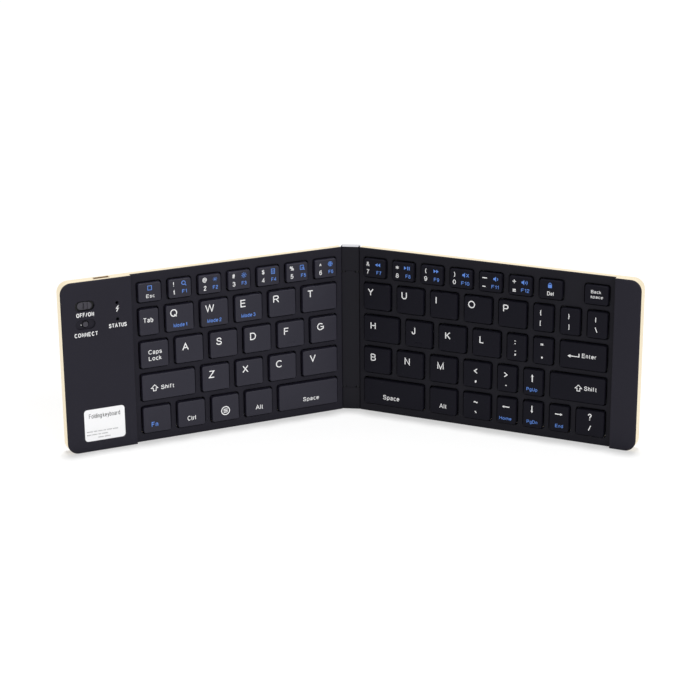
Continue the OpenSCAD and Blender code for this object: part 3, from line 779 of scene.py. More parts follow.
# %% Right cover
right_cover = cover("right")
right_cover.name = "right_gold_cover"
finish(right_cover, gold, "right", "right_half", ["right_back_cover"])

# %% [markdown]
# ## The charging socket and its opening
# The upper wall of the left cover is pierced for a small charging socket. The socket is a
# folded steel shell with two chamfered corners, so that the plug goes in one way up only, and a
# black tongue that carries the contacts.

# %% Left cover
socket_low, socket_high = bench_box("usb_socket", "left")
PORT_GAP = Vector((0.06, 0.06, 0))
PORT_R = 0.4
left_cover = cover("left")
port = block("port", socket_low - PORT_GAP, socket_high + PORT_GAP + Vector((0, 0, 1)))
round_edges(port, along_z, PORT_R, steps=3)
combine(left_cover, [port], "DIFFERENCE")
left_cover.name = "left_gold_cover"
finish(left_cover, gold, "left", "left_half", ["left_back_cover"])

# %% Socket shell
SHEET = 0.3                 # the shell's sheet steel
SHELL_FRONT, SHELL_BACK = 0.8, 0.25  # the chamfer of its front corners, the round of the others
SOCKET_DEEP = 4.4
shell = block("charging_socket_shell", socket_low, socket_high)
round_edges(shell, lambda m, way: along_z(m, way) and m.y < socket_low.y + NEAR, SHELL_FRONT,
            steps=1)
round_edges(shell, lambda m, way: along_z(m, way) and m.y > socket_high.y - NEAR, SHELL_BACK,
            steps=3)
pick_faces(shell, facing_up)
bpy.ops.mesh.inset(thickness=SHEET)
bpy.ops.mesh.extrude_region_move(TRANSFORM_OT_translate={"value": (0, 0, -SOCKET_DEEP)})
deselect()
finish(shell, socket_plating, "left", "left_half", ["usb_socket"])

# %% Contact tongue
TONGUE = (4, 0.6)           # width and thickness of the tongue
TONGUE_BACK = 1             # how far it stands back from the mouth
TONGUE_SOFT = 0.15
tongue_mid = middle((socket_low, socket_high))
tip = socket_high.z - TONGUE_BACK
half_tongue = Vector((TONGUE[0] / 2, TONGUE[1] / 2))
tongue = block("charging_socket_tongue",
               (*(tongue_mid.xy - half_tongue), socket_high.z - SOCKET_DEEP),
               (*(tongue_mid.xy + half_tongue), tip))
round_edges(tongue, lambda m, way: abs(m.z - tip) < NEAR, TONGUE_SOFT, steps=2)
finish(tongue, black_and_painted_shade, "left", "left_half", [])

# %% [markdown]
# ## Keycaps
# The caps are low tiles with rounded corners and soft rims, slightly smaller on top so that they
# leave their mould, and hollow below where the scissor links clip in. There are 66 of them in a
# dozen sizes, so each size is modelled once and copied.

# %% One cap, centred on X and Z
CAP_WALL = 0.9
CAP_SOFT = 0.28             # the soft rim round the face
DRAFT = 0.12                # how far each side leans in from foot to face
caps = {}


def model_cap(width, height):
    size = (round(width, 2), round(height, 2))
    if size not in caps:
        cap = block("cap", (-width / 2, CAP_FACE, -height / 2), (width / 2, CAP_FOOT, height / 2))
        round_edges(cap, along_y, CAP_R, CAP_STEPS)
        pick_faces(cap, facing_front)
        bpy.ops.transform.resize(value=(1 - 2 * DRAFT / width, 1, 1 - 2 * DRAFT / height),
                                 center_override=(0, CAP_FACE, 0))
        round_rim(CAP_SOFT, steps=4)
        pick_faces(cap, facing_back)
        push_in(CAP_FACE + CAP_WALL - CAP_FOOT, CAP_WALL)
        caps[size] = cap
    return caps[size]


# %% [markdown]
# Two keys have a small raised bar under the index fingers, so that a typist finds them blind.

# %% All caps, bank by bank
HOMING = {("keys_a_to_g", 3), ("keys_h_to_l", 1)}
BAR_SIZE, BAR_RISE, BAR_ABOVE_FOOT, BAR_SOFT = (3.4, 0.5), 0.15, 2, 0.12
JOIN = 0.1                  # small solids that are joined run this far into each other


def homing_bar(low, high):
    x = (low.x + high.x) / 2
    z = low.z + BAR_ABOVE_FOOT
    bar = block("bar", (x - BAR_SIZE[0] / 2, CAP_FACE - BAR_RISE, z - BAR_SIZE[1] / 2),
                (x + BAR_SIZE[0] / 2, CAP_FACE + JOIN, z + BAR_SIZE[1] / 2))
    pick_faces(bar, facing_front)
    round_rim(BAR_SOFT, steps=3)
    return bar


# painted light and shade: the left caps take the lighter copy of the plastic and the right caps the
# darker
lit_and_shaded_key_plastic = {"left": left_key_plastic_painted_lit, "right": right_key_plastic_painted_shaded}
for side in ("left", "right"):
    for bank in banks[side]:
        tiles = []
        for i, (low, high) in enumerate(key_boxes[bank]):
            cap = model_cap(high.x - low.x, high.z - low.z)
            tiles.append(copy_at(cap, "cap", (low.x + high.x) / 2, (low.z + high.z) / 2))
            if (bank, i) in HOMING:
                tiles.append(homing_bar(low, high))
        finish(join(tiles, "cap_" + bank), lit_and_shaded_key_plastic[side], side, bank, [bank])
print(len(caps), "sizes of cap")
for cap in caps.values():
    bpy.data.objects.remove(cap)
caps.clear()

# %% [markdown]
# ## Print: the pen
# Legends are screen printed, a film of ink on each cap. An image would blur and a decal needs
# UVs, so each mark is a real sheet of ink three hundredths of a millimetre proud. Everything is
# drawn with a pen: a run of points and the pen's width. The pen's two outlines are worked out
# with mitred corners, and a flat curve fills the shape between them.

# %% The two sides of a stroke
INK = 0.03                  # how far print stands proud of its surface
INK_SUNK = 0.001            # and how far it goes in, so that it holds
MITRE = 0.45                # a sharper corner than this is cut off
printed = {}


def pen_sides(points, width, closed):
    """The two outlines of a stroke."""
    spots = [Vector(p) for p in points]
    before = [spots[-1] if closed else None] + spots[:-1]
    after = spots[1:] + [spots[0] if closed else None]
    one, two = [], []
    for last, spot, coming in zip(before, spots, after):
        ways = [(b - a).normalized() for a, b in ((last, spot), (spot, coming))
                if a is not None and b is not None]
        normals = [Vector((-way.y, way.x)) for way in ways]
        out = (normals[0] + normals[-1]).normalized()
        reach = out * (width / 2 / max(MITRE, out.dot(normals[0])))
        one.append(spot + reach)
        two.append(spot - reach)
    return one, two


# %% A drawn stroke
def drawn(points, width, closed=False, filled=False):
    """A stroke through points given across and up in mm, or the shape that they enclose."""
    one, two = pen_sides(points, width, closed)
    loops = [points] if filled else [one, two] if closed else [one + two[::-1]]
    data = bpy.data.curves.new("stroke", "CURVE")
    data.dimensions = "2D"
    data.fill_mode = "BOTH"
    data.extrude = INK / 2
    for loop in loops:
        spline = data.splines.new("POLY")
        spline.points.add(len(loop) - 1)
        for point, (x, z) in zip(spline.points, loop):
            point.co = (x, z, 0, 1)
        spline.use_cyclic_u = True
    stroke = bpy.data.objects.new("stroke", data)
    bpy.context.scene.collection.objects.link(stroke)
    return stroke


# %% Strokes turned into ink
def inked(strokes, name):
    """Turns strokes into one mesh in the XZ plane that faces -Y."""
    deselect()
    for stroke in strokes:
        stroke.select_set(True)
    bpy.context.view_layer.objects.active = strokes[0]
    bpy.ops.object.convert(target="MESH")
    mark = join(list(bpy.context.selected_objects), name)
    mark.data.transform(Matrix.Rotation(math.pi / 2, 4, "X"))
    return mark


# %% Round strokes
def arc(x, z, rx, rz, start=0, end=360, steps=8):
    """Points of an oval or a part of it, in degrees from the right."""
    full = abs(end - start) == 360
    count = steps if full else steps + 1
    angles = [math.radians(start + (end - start) * i / steps) for i in range(count)]
    return [(x + rx * math.cos(a), z + rz * math.sin(a)) for a in angles]


def ring(x, z, r, start=0, end=360, steps=20):
    return arc(x, z, r, r, start, end, steps)


# %% [markdown]
# ## Print: the alphabet
# Blender's own font has old-style shapes, and its M breaks when it is thickened. Keys carry a
# plain alphabet of even strokes, so each letter is listed as strokes on a grid on which a capital
# is 1 high. A stroke marked "closed" has its ends joined. That gives full control of weight and
# width, and every word of the part comes from this table.

# %% Curves that several letters share
def oval(x, z, rx, rz, steps=14):
    return ("closed", arc(x, z, rx, rz, 0, 360, steps))


S_BEND = [(.65, .73), (.6, .88), (.48, .98), (.33, 1), (.17, .96), (.07, .85), (.06, .73),
          (.13, .61), (.3, .53), (.5, .47), (.64, .38), (.69, .26), (.64, .12), (.5, .02),
          (.34, 0), (.18, .03), (.06, .12), (0, .29)]
BRACE = [(.22, 1.02), (.12, .98), (.1, .86), (.1, .62), (.07, .52), (0, .46), (.07, .4),
         (.1, .3), (.1, .04), (.12, -.08), (.22, -.14)]
BOW = [(.2, 1.03), (.07, .8), (0, .52), (0, .3), (.07, .02), (.2, -.2)]


def mirrored(points, width):
    return [(width - x, z) for x, z in points]


# %% Capitals
LETTERS = {
    "A": [[(0, 0), (.42, 1), (.84, 0)], [(.14, .35), (.7, .35)]],
    "B": [[(0, 0), (0, 1)], [(0, 1)] + arc(.36, .765, .26, .235, 90, -90) + [(0, .53)],
          [(.36, .53)] + arc(.38, .265, .28, .265, 90, -90)[1:] + [(0, 0)]],
    "C": [arc(.42, .5, .42, .5, 42, 318, 16)],
    "D": [("closed", [(0, 0), (0, 1)] + arc(.28, .5, .42, .5, 90, -90, 12))],
    "E": [[(.64, 1), (0, 1), (0, 0), (.66, 0)], [(0, .53), (.6, .53)]],
    "F": [[(.6, 1), (0, 1), (0, 0)], [(0, .53), (.52, .53)]],
    "G": [arc(.43, .5, .43, .5, 45, 322, 16) + [(.86, .2), (.86, .48), (.45, .48)]],
    "H": [[(0, 0), (0, 1)], [(.66, 0), (.66, 1)], [(0, .53), (.66, .53)]],
    "I": [[(0, 0), (0, 1)]],
    "J": [[(.44, 1)] + arc(.22, .24, .22, .24, 0, -180) + [(0, .34)]],
    "K": [[(0, 0), (0, 1)], [(.66, 1), (0, .36)], [(.22, .58), (.72, 0)]],
    "L": [[(0, 1), (0, 0), (.54, 0)]],
    "M": [[(0, 0), (0, 1), (.41, 0), (.82, 1), (.82, 0)]],
    "N": [[(0, 0), (0, 1), (.66, 0), (.66, 1)]],
    "O": [oval(.44, .5, .44, .5, 20)],
    "P": [[(0, 0), (0, 1)], [(0, 1)] + arc(.38, .72, .28, .28, 90, -90) + [(0, .44)]],
    "Q": [oval(.44, .5, .44, .5, 20), [(.52, .24), (.88, -.06)]],
    "R": [[(0, 0), (0, 1)], [(0, 1)] + arc(.42, .745, .27, .255, 90, -90) + [(0, .49)],
          [(.36, .49), (.74, 0)]],
    "S": [S_BEND],
    "T": [[(0, 1), (.78, 1)], [(.39, 1), (.39, 0)]],
    "U": [[(0, 1)] + arc(.33, .31, .33, .31, 180, 360) + [(.66, 1)]],
    "V": [[(0, 1), (.42, 0), (.84, 1)]],
    "W": [[(0, 1), (.29, 0), (.6, 1), (.91, 0), (1.2, 1)]],
    "X": [[(.02, 1), (.82, 0)], [(.8, 1), (0, 0)]],
    "Y": [[(0, 1), (.42, .46), (.84, 1)], [(.42, .46), (.42, 0)]],
    "Z": [[(.03, 1), (.68, 1), (0, 0), (.7, 0)]],
}
print(len(LETTERS), "capitals")

# %% Small letters
LETTERS |= {
    "a": [[(.03, .54), (.1, .67), (.24, .72), (.38, .7), (.46, .59), (.46, .14), (.5, 0)],
          [(.46, .42), (.2, .37), (.05, .3), (0, .17), (.05, .05), (.18, 0), (.34, .05),
           (.46, .2)]],
    "b": [[(0, 1), (0, 0)], oval(.25, .36, .25, .36)],
    "c": [arc(.26, .36, .26, .36, 45, 315, 12)],
    "d": [oval(.25, .36, .25, .36), [(.5, 1), (.5, 0)]],
    "e": [[(.01, .38), (.54, .38)] + arc(.27, .36, .27, .36, 12, 315, 14)],
    "f": [[(.3, .99), (.2, 1), (.13, .94), (.12, .8), (.12, 0)], [(0, .7), (.27, .7)]],
    "g": [oval(.25, .36, .25, .36), [(.5, .72)] + arc(.26, -.06, .24, .22, 0, -160)],
    "h": [[(0, 1), (0, 0)], arc(.21, .46, .21, .26, 180, 0) + [(.42, 0)]],
    "i": [[(0, .72), (0, 0)], [(0, .9), (0, 1.02)]],
    "k": [[(0, 1), (0, 0)], [(.42, .72), (0, .3)], [(.15, .45), (.46, 0)]],
    "l": [[(0, 1), (0, 0)]],
    "m": [[(0, .72), (0, 0)], arc(.2, .5, .2, .22, 180, 0) + [(.4, 0)],
          arc(.6, .5, .2, .22, 180, 0) + [(.8, 0)]],
    "n": [[(0, .72), (0, 0)], arc(.21, .46, .21, .26, 180, 0) + [(.42, 0)]],
    "o": [oval(.28, .36, .28, .36)],
    "p": [[(0, .72), (0, -.27)], oval(.25, .36, .25, .36)],
    "r": [[(0, .72), (0, 0)], [(0, .42), (.06, .6), (.16, .7), (.29, .7)]],
    "s": [[(.42, .55), (.36, .67), (.22, .72), (.08, .68), (.02, .56), (.08, .44), (.23, .38),
           (.38, .31), (.44, .19), (.38, .06), (.23, 0), (.08, .03), (0, .16)]],
    "t": [[(.12, .93), (.12, .14), (.18, .02), (.29, 0)], [(0, .7), (.27, .7)]],
    "y": [[(0, .72), (.25, .04)], [(.5, .72), (.22, -.1), (.14, -.24), (.02, -.26)]],
}
print(len(LETTERS), "letters")

# %% Figures
LETTERS |= {
    "0": [oval(.27, .5, .27, .5, 16)],
    "1": [[(0, .74), (.14, .84), (.24, 1), (.24, 0)]],
    "2": [[(.02, .7), (.05, .86), (.15, .97), (.28, 1), (.42, .96), (.51, .84), (.5, .68),
           (.4, .52), (.2, .32), (.06, .16), (0, 0), (.54, 0)]],
    "3": [[(.02, .78), (.08, .92), (.24, 1), (.4, .96), (.49, .84), (.47, .66), (.36, .56),
           (.2, .54)], [(.3, .54), (.45, .48), (.53, .36), (.53, .2), (.44, .06), (.27, 0),
                        (.1, .05), (0, .24)]],
    "4": [[(.42, 0), (.42, 1), (0, .3), (.58, .3)]],
    "5": [[(.48, 1), (.1, 1), (.05, .5), (.15, .6), (.28, .64), (.43, .58), (.53, .44),
           (.53, .22), (.43, .06), (.26, 0), (.1, .04), (0, .22)]],
    "6": [[(.5, .8), (.44, .95), (.3, 1), (.15, .94), (.05, .76), (.01, .5), (.01, .32)],
          oval(.27, .32, .26, .32)],
    "7": [[(0, 1), (.54, 1), (.36, .68), (.25, .36), (.2, 0)]],
    "8": [oval(.27, .76, .22, .24), oval(.27, .27, .27, .27)],
    "9": [oval(.26, .68, .26, .32), [(.52, .66), (.52, .48), (.48, .24), (.38, .06), (.24, 0),
                                     (.1, .05), (.04, .2)]],
}
print(len(LETTERS), "letters and figures")

# %% Signs
LETTERS |= {
    "!": [[(0, 1.05), (0, .3)], [(0, -.04), (0, .1)]],
    "@": [[(.72, .68), (.66, .3), (.72, .2), (.84, .22), (.96, .36)]
          + arc(.5, .45, .48, .54, 0, 300, 18), oval(.48, .45, .2, .24, 12)],
    "#": [[(.16, 0), (.26, 1)], [(.42, 0), (.52, 1)], [(.02, .66), (.66, .66)],
          [(0, .34), (.64, .34)]],
    "$": [[(x * .8, z * .84 + .08) for x, z in S_BEND], [(.27, 1.1), (.27, -.1)]],
    "%": [oval(.16, .76, .15, .22, 12), oval(.74, .24, .15, .22, 12), [(.64, 1), (.26, 0)]],
    "^": [[(0, .55), (.22, 1), (.44, .55)]],
    "&": [[(.64, 0), (.16, .62), (.1, .8), (.2, .96), (.33, 1), (.43, .93), (.46, .8), (.38, .66),
           (.12, .5), (.02, .34), (.02, .16), (.12, .03), (.28, 0), (.45, .08), (.56, .26),
           (.6, .42)]],
    "*": [[(.4, 1.15), (.4, .35)], [(0, .95), (.8, .55)], [(0, .55), (.8, .95)]],
    "(": [BOW], ")": [mirrored(BOW, .2)],
    "_": [[(0, 0), (1.3, 0)]], "-": [[(0, .5), (.85, .5)]],
    "+": [[(0, .5), (.9, .5)], [(.45, .95), (.45, .05)]],
    "=": [[(0, .74), (.85, .74)], [(0, .3), (.85, .3)]],
    "{": [BRACE], "}": [mirrored(BRACE, .22)],
    "[": [[(.18, 1.02), (0, 1.02), (0, -.14), (.18, -.14)]],
    "]": [[(0, 1.02), (.18, 1.02), (.18, -.14), (0, -.14)]],
    "|": [[(0, 1.02), (0, -.14)]], "\\": [[(0, 1), (.4, 0)]], "/": [[(.4, 1), (0, 0)]],
    ":": [[(0, .56), (0, .7)], [(0, 0), (0, .14)]],
    ";": [[(.05, .56), (.05, .7)], [(.06, .1), (.05, -.08), (-.04, -.28)]],
    "\"": [[(0, 1), (0, .68)], [(.24, 1), (.24, .68)]], "'": [[(0, 1), (0, .68)]],
    "<": [[(.5, .88), (0, .5), (.5, .12)]], ">": [[(0, .88), (.5, .5), (0, .12)]],
    ",": [[(.1, .12), (.09, -.08), (0, -.28)]], ".": [[(0, 0), (0, .14)]],
    "?": [[(0, .74), (.05, .9), (.2, 1), (.36, .97), (.46, .84), (.44, .68), (.32, .54), (.25, .44),
           (.24, .28)], [(.24, -.04), (.24, .1)]],
    "~": [[(0, .42), (.08, .56), (.2, .56), (.38, .44), (.5, .42), (.6, .56)]],
    "`": [[(0, 1.02), (.24, .72)]],
}
print(len(LETTERS), "letters, figures and signs")

# %% Words
LETTER_GAP, WORD_GAP = 0.31, 0.55
PEN_LETTER, PEN_WORD, PEN_DOT = 0.135, 0.14, 0.21  # the pen's width for a capital 1 high
TALL_PRINT = 3              # mm: print above this is a single large letter
DOTTED = set(":;.,'=_-")     # small signs, which need a heavier pen


def word(text, height, wide=1.0, gap=LETTER_GAP, share=None):
    """Letters in mm. Words centre on a capital's height, signs on their own."""
    key = (text, height, wide)
    if key not in printed:
        usual = PEN_DOT if text in DOTTED else PEN_LETTER if height > TALL_PRINT else PEN_WORD
        pen = height * (share or usual)
        size = height - pen
        strokes, cursor = [], 0
        for letter_ in text:
            if letter_ == " ":
                cursor += WORD_GAP - gap
                continue
            runs = [run if run[0] == "closed" else ("open", run) for run in LETTERS[letter_]]
            for kind, points in runs:
                scaled = [((cursor + x) * size * wide, z * size + pen / 2) for x, z in points]
                strokes.append(drawn(scaled, pen, kind == "closed"))
            cursor += max(x for kind, points in runs for x, z in points) + gap
        mark = inked(strokes, "word")
        low, high = corners([v.co for v in mark.data.vertices])
        plain_word = text.replace("/", "").replace(" ", "").isalnum()
        up = height / 2 if plain_word else (low.z + high.z) / 2
        mark.data.transform(Matrix.Translation((-(low.x + high.x) / 2, 0, -up)))
        printed[key] = mark
    return printed[key]


# %% [markdown]
# ## Print: icons
# The icons are drawn with the same pen, as lists of strokes: a line, a closed outline or a solid
# shape, in millimetres from the icon's middle.

# %% Shapes that icons share, as (points, closed, filled)
PEN = 0.3


def line(*points):
    return (points, False, False)


def outline(*points):
    return (points, True, False)


def solid(*points):
    return (points, True, True)


def rays(inner, outer, count):
    turns = [2 * math.pi * i / count for i in range(count)]
    ways = [(math.cos(a), math.sin(a)) for a in turns]
    return [line((inner * x, inner * z), (outer * x, outer * z)) for x, z in ways]


def speaker(x):
    return [solid((x - 1.0, -0.45), (x - 0.5, -0.45), (x + 0.3, -1.15), (x + 0.3, 1.15),
                  (x - 0.5, 0.45), (x - 1.0, 0.45))]


def triangle(x, way):
    return solid((x - 0.6 * way, -0.85), (x + 0.6 * way, 0), (x - 0.6 * way, 0.85))


def shaft_and_head(way):
    """An arrow of 3.6 mm that points up, down, left or right."""
    turn = {"right": (1, 0), "up": (0, 1), "left": (-1, 0), "down": (0, -1)}[way]

    def put(along, across):
        return (along * turn[0] - across * turn[1], along * turn[1] + across * turn[0])
    shaft = [put(-1.8, -0.23), put(0.9, -0.23), put(0.9, 0.23), put(-1.8, 0.23)]
    return [solid(*shaft), solid(put(0.7, 0.62), put(1.8, 0), put(0.7, -0.62))]


# %% The icons, as lists of strokes
ICONS = {
    "stop": [outline((-0.9, -0.95), (0.9, -0.95), (0.9, 0.95), (-0.9, 0.95))],
    "search": [(ring(-0.2, 0.25, 0.85), True, False), line((0.4, -0.4), (1.1, -1.15))],
    "dim": [(ring(0, 0, 0.42, steps=12), True, False)] + rays(0.75, 1.0, 8),
    "bright": [(ring(0, 0, 0.5, steps=12), True, False)] + rays(0.85, 1.3, 8),
    "page": [outline((-0.75, -1.1), (0.85, -1.1), (0.85, 1.1), (-0.75, 1.1)),
             line((-0.75, 0.1), (0.85, 0.1)), line((-0.2, -0.5), (0.45, -0.5))],
    "find": [outline((-1.0, -0.9), (0.6, -0.9), (0.6, 1.1), (-1.0, 1.1)),
             (ring(0.35, -0.35, 0.5, steps=12), True, False), line((0.7, -0.7), (1.15, -1.2))],
    "globe": [(ring(0, 0, 1.05), True, False), line((-1, 0), (1, 0)), line((0, -1), (0, 1)),
              (ring(0.75, 0, 1.15, 130, 230, 6), False, False),
              (ring(-0.75, 0, 1.15, -50, 50, 6), False, False)],
    "back": [triangle(-0.65, -1), triangle(0.65, -1)],
    "play": [triangle(-0.85, 1), line((0.35, -0.85), (0.35, 0.85)),
             line((1.15, -0.85), (1.15, 0.85))],
    "forward": [triangle(-0.65, 1), triangle(0.65, 1)],
    "mute": speaker(-0.7) + [line((0.25, -0.75), (1.45, 0.75)), line((0.25, 0.75), (1.45, -0.75))],
    "quiet": speaker(-0.4) + [line((0.55, -0.55), (0.75, 0), (0.55, 0.55))],
    "loud": speaker(-0.75) + [line((0.15, -0.5), (0.32, 0), (0.15, 0.5)),
                              line((0.72, -0.9), (1.05, 0), (0.72, 0.9))],
    "lock": [solid((-0.9, -1.3), (0.9, -1.3), (0.9, 0.25), (-0.9, 0.25)),
             (ring(0, 0.35, 0.6, 0, 180, 8), False, False)],
    "menu": [(ring(0, 0, 1.95, steps=32), True, False)]
            + [solid((-1.0, z), (1.0, z), (1.0, z + 0.42), (-1.0, z + 0.42))
               for z in (-0.95, -0.21, 0.53)],
    "shift": [outline((-0.66, -1.38), (0.66, -1.38), (0.66, -0.1), (1.58, -0.1), (0, 1.45),
                      (-1.58, -0.1), (-0.66, -0.1))],
    "enter": [line((-1.4, -0.4), (2.6, -0.4), (2.6, 1.1)),
              solid((-2.8, -0.4), (-1.4, 0.35), (-1.4, -1.15))],
    "bolt": [line((0.5, 1.35), (-0.42, 0.12), (0.42, 0.12), (-0.42, -1.35))],
    "up": shaft_and_head("up"), "down": shaft_and_head("down"),
    "left": shaft_and_head("left"), "right": shaft_and_head("right"),
}
print("icons:", ", ".join(ICONS))

# %% The icons' pens
PEN_OF = {"bolt": 0.36, "menu": 0.46, "shift": 0.33, "enter": 0.4, "play": 0.4, "dim": 0.22,
          "bright": 0.24, "page": 0.24, "find": 0.24, "globe": 0.2, "stop": 0.26}
print(len(PEN_OF), "icons have a pen of their own")


def icon(name):
    if name not in printed:
        printed[name] = inked([drawn(points, PEN_OF.get(name, PEN), closed, filled)
                               for points, closed, filled in ICONS[name]], "icon")
    return printed[name]


# %% [markdown]
# ## Which mark goes where
# A key's marks are listed as: what, how far from the cap's left and top edges its centre is, and
# a capital's height, with the blue ones after the white ones. The lists follow the banks, whose
# caps are counted from left to right.

# %% White marks
WHITE = {
    "keys_1_to_6": [[("!", 2.46, 2.18, 2.2), ("1", 2.52, 6.04, 2.2)],
                    [("@", 3.02, 2.22, 2.2), ("2", 3.04, 6.04, 2.2)],
                    [("#", 2.69, 2.17, 2.2), ("3", 2.78, 5.94, 2.2, 1.08)],
                    [("$", 2.84, 2.14, 2.2), ("4", 2.75, 6.05, 2.2)],
                    [("%", 2.75, 2.18, 2.2), ("5", 2.77, 5.97, 2.2, 1.06)],
                    [("^", 2.77, 2.2, 2.2), ("6", 2.84, 6.06, 2.2)]],
    "keys_7_to_equals": [[("&", 2.26, 2.53, 2.2), ("7", 2.3, 6.21, 2.2)],
                         [("*", 2.66, 2.49, 2.2), ("8", 2.68, 6.37, 2.2, 1.11)],
                         [("(", 2.59, 2.46, 2.2), ("9", 2.54, 6.15, 2.2, 1.18)],
                         [(")", 2.37, 2.53, 2.2), ("0", 2.32, 6.09, 2.2, 1.15)],
                         [("_", 2.7, 2.4, 2.2), ("-", 2.39, 6.46, 2.2)],
                         [("+", 2.56, 2.41, 2.2), ("=", 2.62, 6.6, 2.2)]],
    "key_esc": [[("Esc", 5.68, 6.09, 1.63, 1.23)]],
    "key_tab": [[("Tab", 4.21, 5.29, 2.25, 0.96)]],
    "keys_q_to_t": [[("Q", 3.67, 3.58, 3.5, 1.06)], [("W", 4.3, 3.7, 3.5, 1.06)],
                    [("E", 3.78, 3.67, 3.5, 1.1)], [("R", 3.46, 3.78, 3.5, 1.11)],
                    [("T", 3.9, 3.62, 3.5, 1.05)]],
    "key_caps_lock": [[("Caps", 6.83, 4.95, 2.1, 1.09), ("Lock", 6.76, 8, 2.1, 1.09)]],
    "keys_a_to_g": [[("A", 4.69, 4.69, 3.5, 1.05)], [("S", 4.28, 4.49, 3.5, 1.09)],
                    [("D", 4.3, 4.49, 3.5, 1.14)], [("F", 4.13, 4.5, 3.5, 1.08)],
                    [("G", 4.79, 4.59, 3.5, 1.12)]],
    "key_left_shift": [[("shift", 5.94, 6.62, 0), ("Shift", 12.11, 6.71, 2.04, 1.18)]],
    "keys_z_to_v": [[("Z", 4.56, 4.3, 3.5, 1.13)], [("X", 4.49, 4.24, 3.5)],
                    [("C", 4.52, 4.28, 3.5, 1.16)], [("V", 5.02, 3.98, 3.5)]],
    "key_ctrl": [[("Ctrl", 6.51, 8.34, 2.3, 0.84)]],
    "keys_menu_alt": [[("menu", 6.5, 7.49, 0)], [("Alt", 6.61, 8.34, 2.28)]],
    "key_left_space": [[("Space", 16.23, 8.16, 2.02, 1.16)]],
    "key_delete": [[("Del", 5.42, 6.15, 1.85, 0.94)]],
    "key_backspace": [[("Back", 5.33, 2.87, 1.5, 1.16), ("space", 5.71, 5.17, 1.43, 1.22)]],
    "keys_y_to_p": [[("Y", 3.54, 3.98, 3.5, 0.94)], [("U", 3.79, 3.66, 3.5, 1.09)],
                    [("I", 2.99, 3.93, 3.5)], [("O", 3.7, 3.83, 3.5, 1.08)],
                    [("P", 3.55, 3.62, 3.5, 1.05)]],
    "keys_brackets": [[("{", 3.41, 3.66, 2.3), ("[", 3.44, 8.62, 2.1)],
                      [("}", 4.13, 3.79, 2.3), ("]", 4.2, 8.68, 2.1)],
                      [("|", 3.9, 3.82, 2.2), ("\\", 4.2, 8.48, 2.6)]],
    "keys_h_to_l": [[("H", 4.77, 4.67, 3.5, 1.07)], [("J", 4.13, 4.53, 3.5)],
                    [("K", 4.54, 4.71, 3.5)], [("L", 4.36, 4.42, 3.5)]],
    "keys_semicolon_quote": [[(":", 3.99, 3.6, 3), (";", 4.07, 8.83, 3)],
                             [("\"", 4.12, 2.97, 3.4), ("'", 4.26, 9.18, 3.4)]],
    "key_enter": [[("enter", 6.46, 6.15, 0), ("Enter", 13.74, 5.75, 2.02, 1.08)]],
    "keys_b_to_period": [[("B", 4.78, 4.67, 3.5, 1.06)], [("N", 5.37, 4.43, 3.5, 1.08)],
                         [("M", 5.4, 4.3, 3.5, 1.08)],
                         [("<", 6.02, 4.38, 3.2), (",", 6.12, 9.56, 3.4)],
                         [(">", 4.19, 4.2, 3.2), (".", 4.3, 9.35, 3.4)]],
    "keys_arrows": [[("up", 4.26, 4.09, 0)], [("left", 4.28, 4.18, 0)],
                    [("down", 4.33, 3.58, 0)], [("right", 4.59, 4.04, 0)]],
    "key_right_shift": [[("shift", 13.6, 5.72, 0), ("Shift", 19.18, 5.49, 2.04, 1.11)]],
    "key_right_space": [[("Space", 13.93, 8.23, 2.3, 1.04)]],
    "keys_alt_tilde": [[("Alt", 6.64, 8.37, 2.28, 0.98)],
                       [("~", 6.24, 4.04, 3.4), ("`", 6.29, 8.86, 3.4)]],
    "key_slash": [[("?", 6.6, 3.18, 3.3), ("/", 6.65, 8.53, 2.8)]],
}
print("keys with white print:", sum(len(keys) for keys in WHITE.values()))

# %% Blue marks
BLUE = {
    "keys_1_to_6": [[("search", 7.38, 2.24, 0), ("F1", 7.53, 5.95, 1.72, 1.16)],
                    [("dim", 8.03, 2.23, 0), ("F2", 8.08, 6.05, 1.72, 1.04)],
                    [("bright", 7.7, 2.23, 0), ("F3", 7.72, 5.93, 1.72, 0.98)],
                    [("page", 7.63, 2.24, 0), ("F4", 7.99, 6.09, 1.72, 1.03)],
                    [("find", 7.95, 2.32, 0), ("F5", 8.53, 6.07, 1.72, 1.04)],
                    [("globe", 7.75, 2.33, 0), ("F6", 8.02, 6.09, 1.72)]],
    "keys_7_to_equals": [[("back", 7.15, 2.51, 0), ("F7", 7.8, 6.32, 1.72)],
                         [("play", 7.52, 2.38, 0), ("F8", 8.07, 6.27, 1.72, 1.02)],
                         [("forward", 7.65, 2.21, 0), ("F9", 7.87, 6.18, 1.72, 1.1)],
                         [("mute", 7.89, 2.43, 0), ("F10", 7.67, 6.25, 1.72, 1.25)],
                         [("quiet", 8.25, 2.51, 0), ("F11", 7.73, 6.25, 1.72, 1.28)],
                         [("loud", 7.75, 2.52, 0), ("F12", 7.81, 6.21, 1.72, 1.24)]],
    "key_esc": [[("stop", 5.45, 2.32, 0)]],
    "keys_q_to_t": [[("Mode 1", 6.67, 9.56, 1.75)], [("Mode 2", 6.36, 9.69, 1.75)],
                    [("Mode 3", 6.34, 9.54, 1.75)]],
    "key_fn": [[("Fn", 5.37, 8.51, 2.37, 1.02)]],
    "key_delete": [[("lock", 5.15, 2.25, 0)]],
    "keys_arrows": [[("PgUp", 4.16, 9.49, 1.62, 1.1)], [("Home", 4.24, 9.8, 1.62, 1.17)],
                    [("PgDn", 4.49, 9.65, 1.62, 1.1)], [("End", 4.88, 9.65, 1.62, 1.16)]],
}
print("keys with blue print:", sum(len(keys) for keys in BLUE.values()))

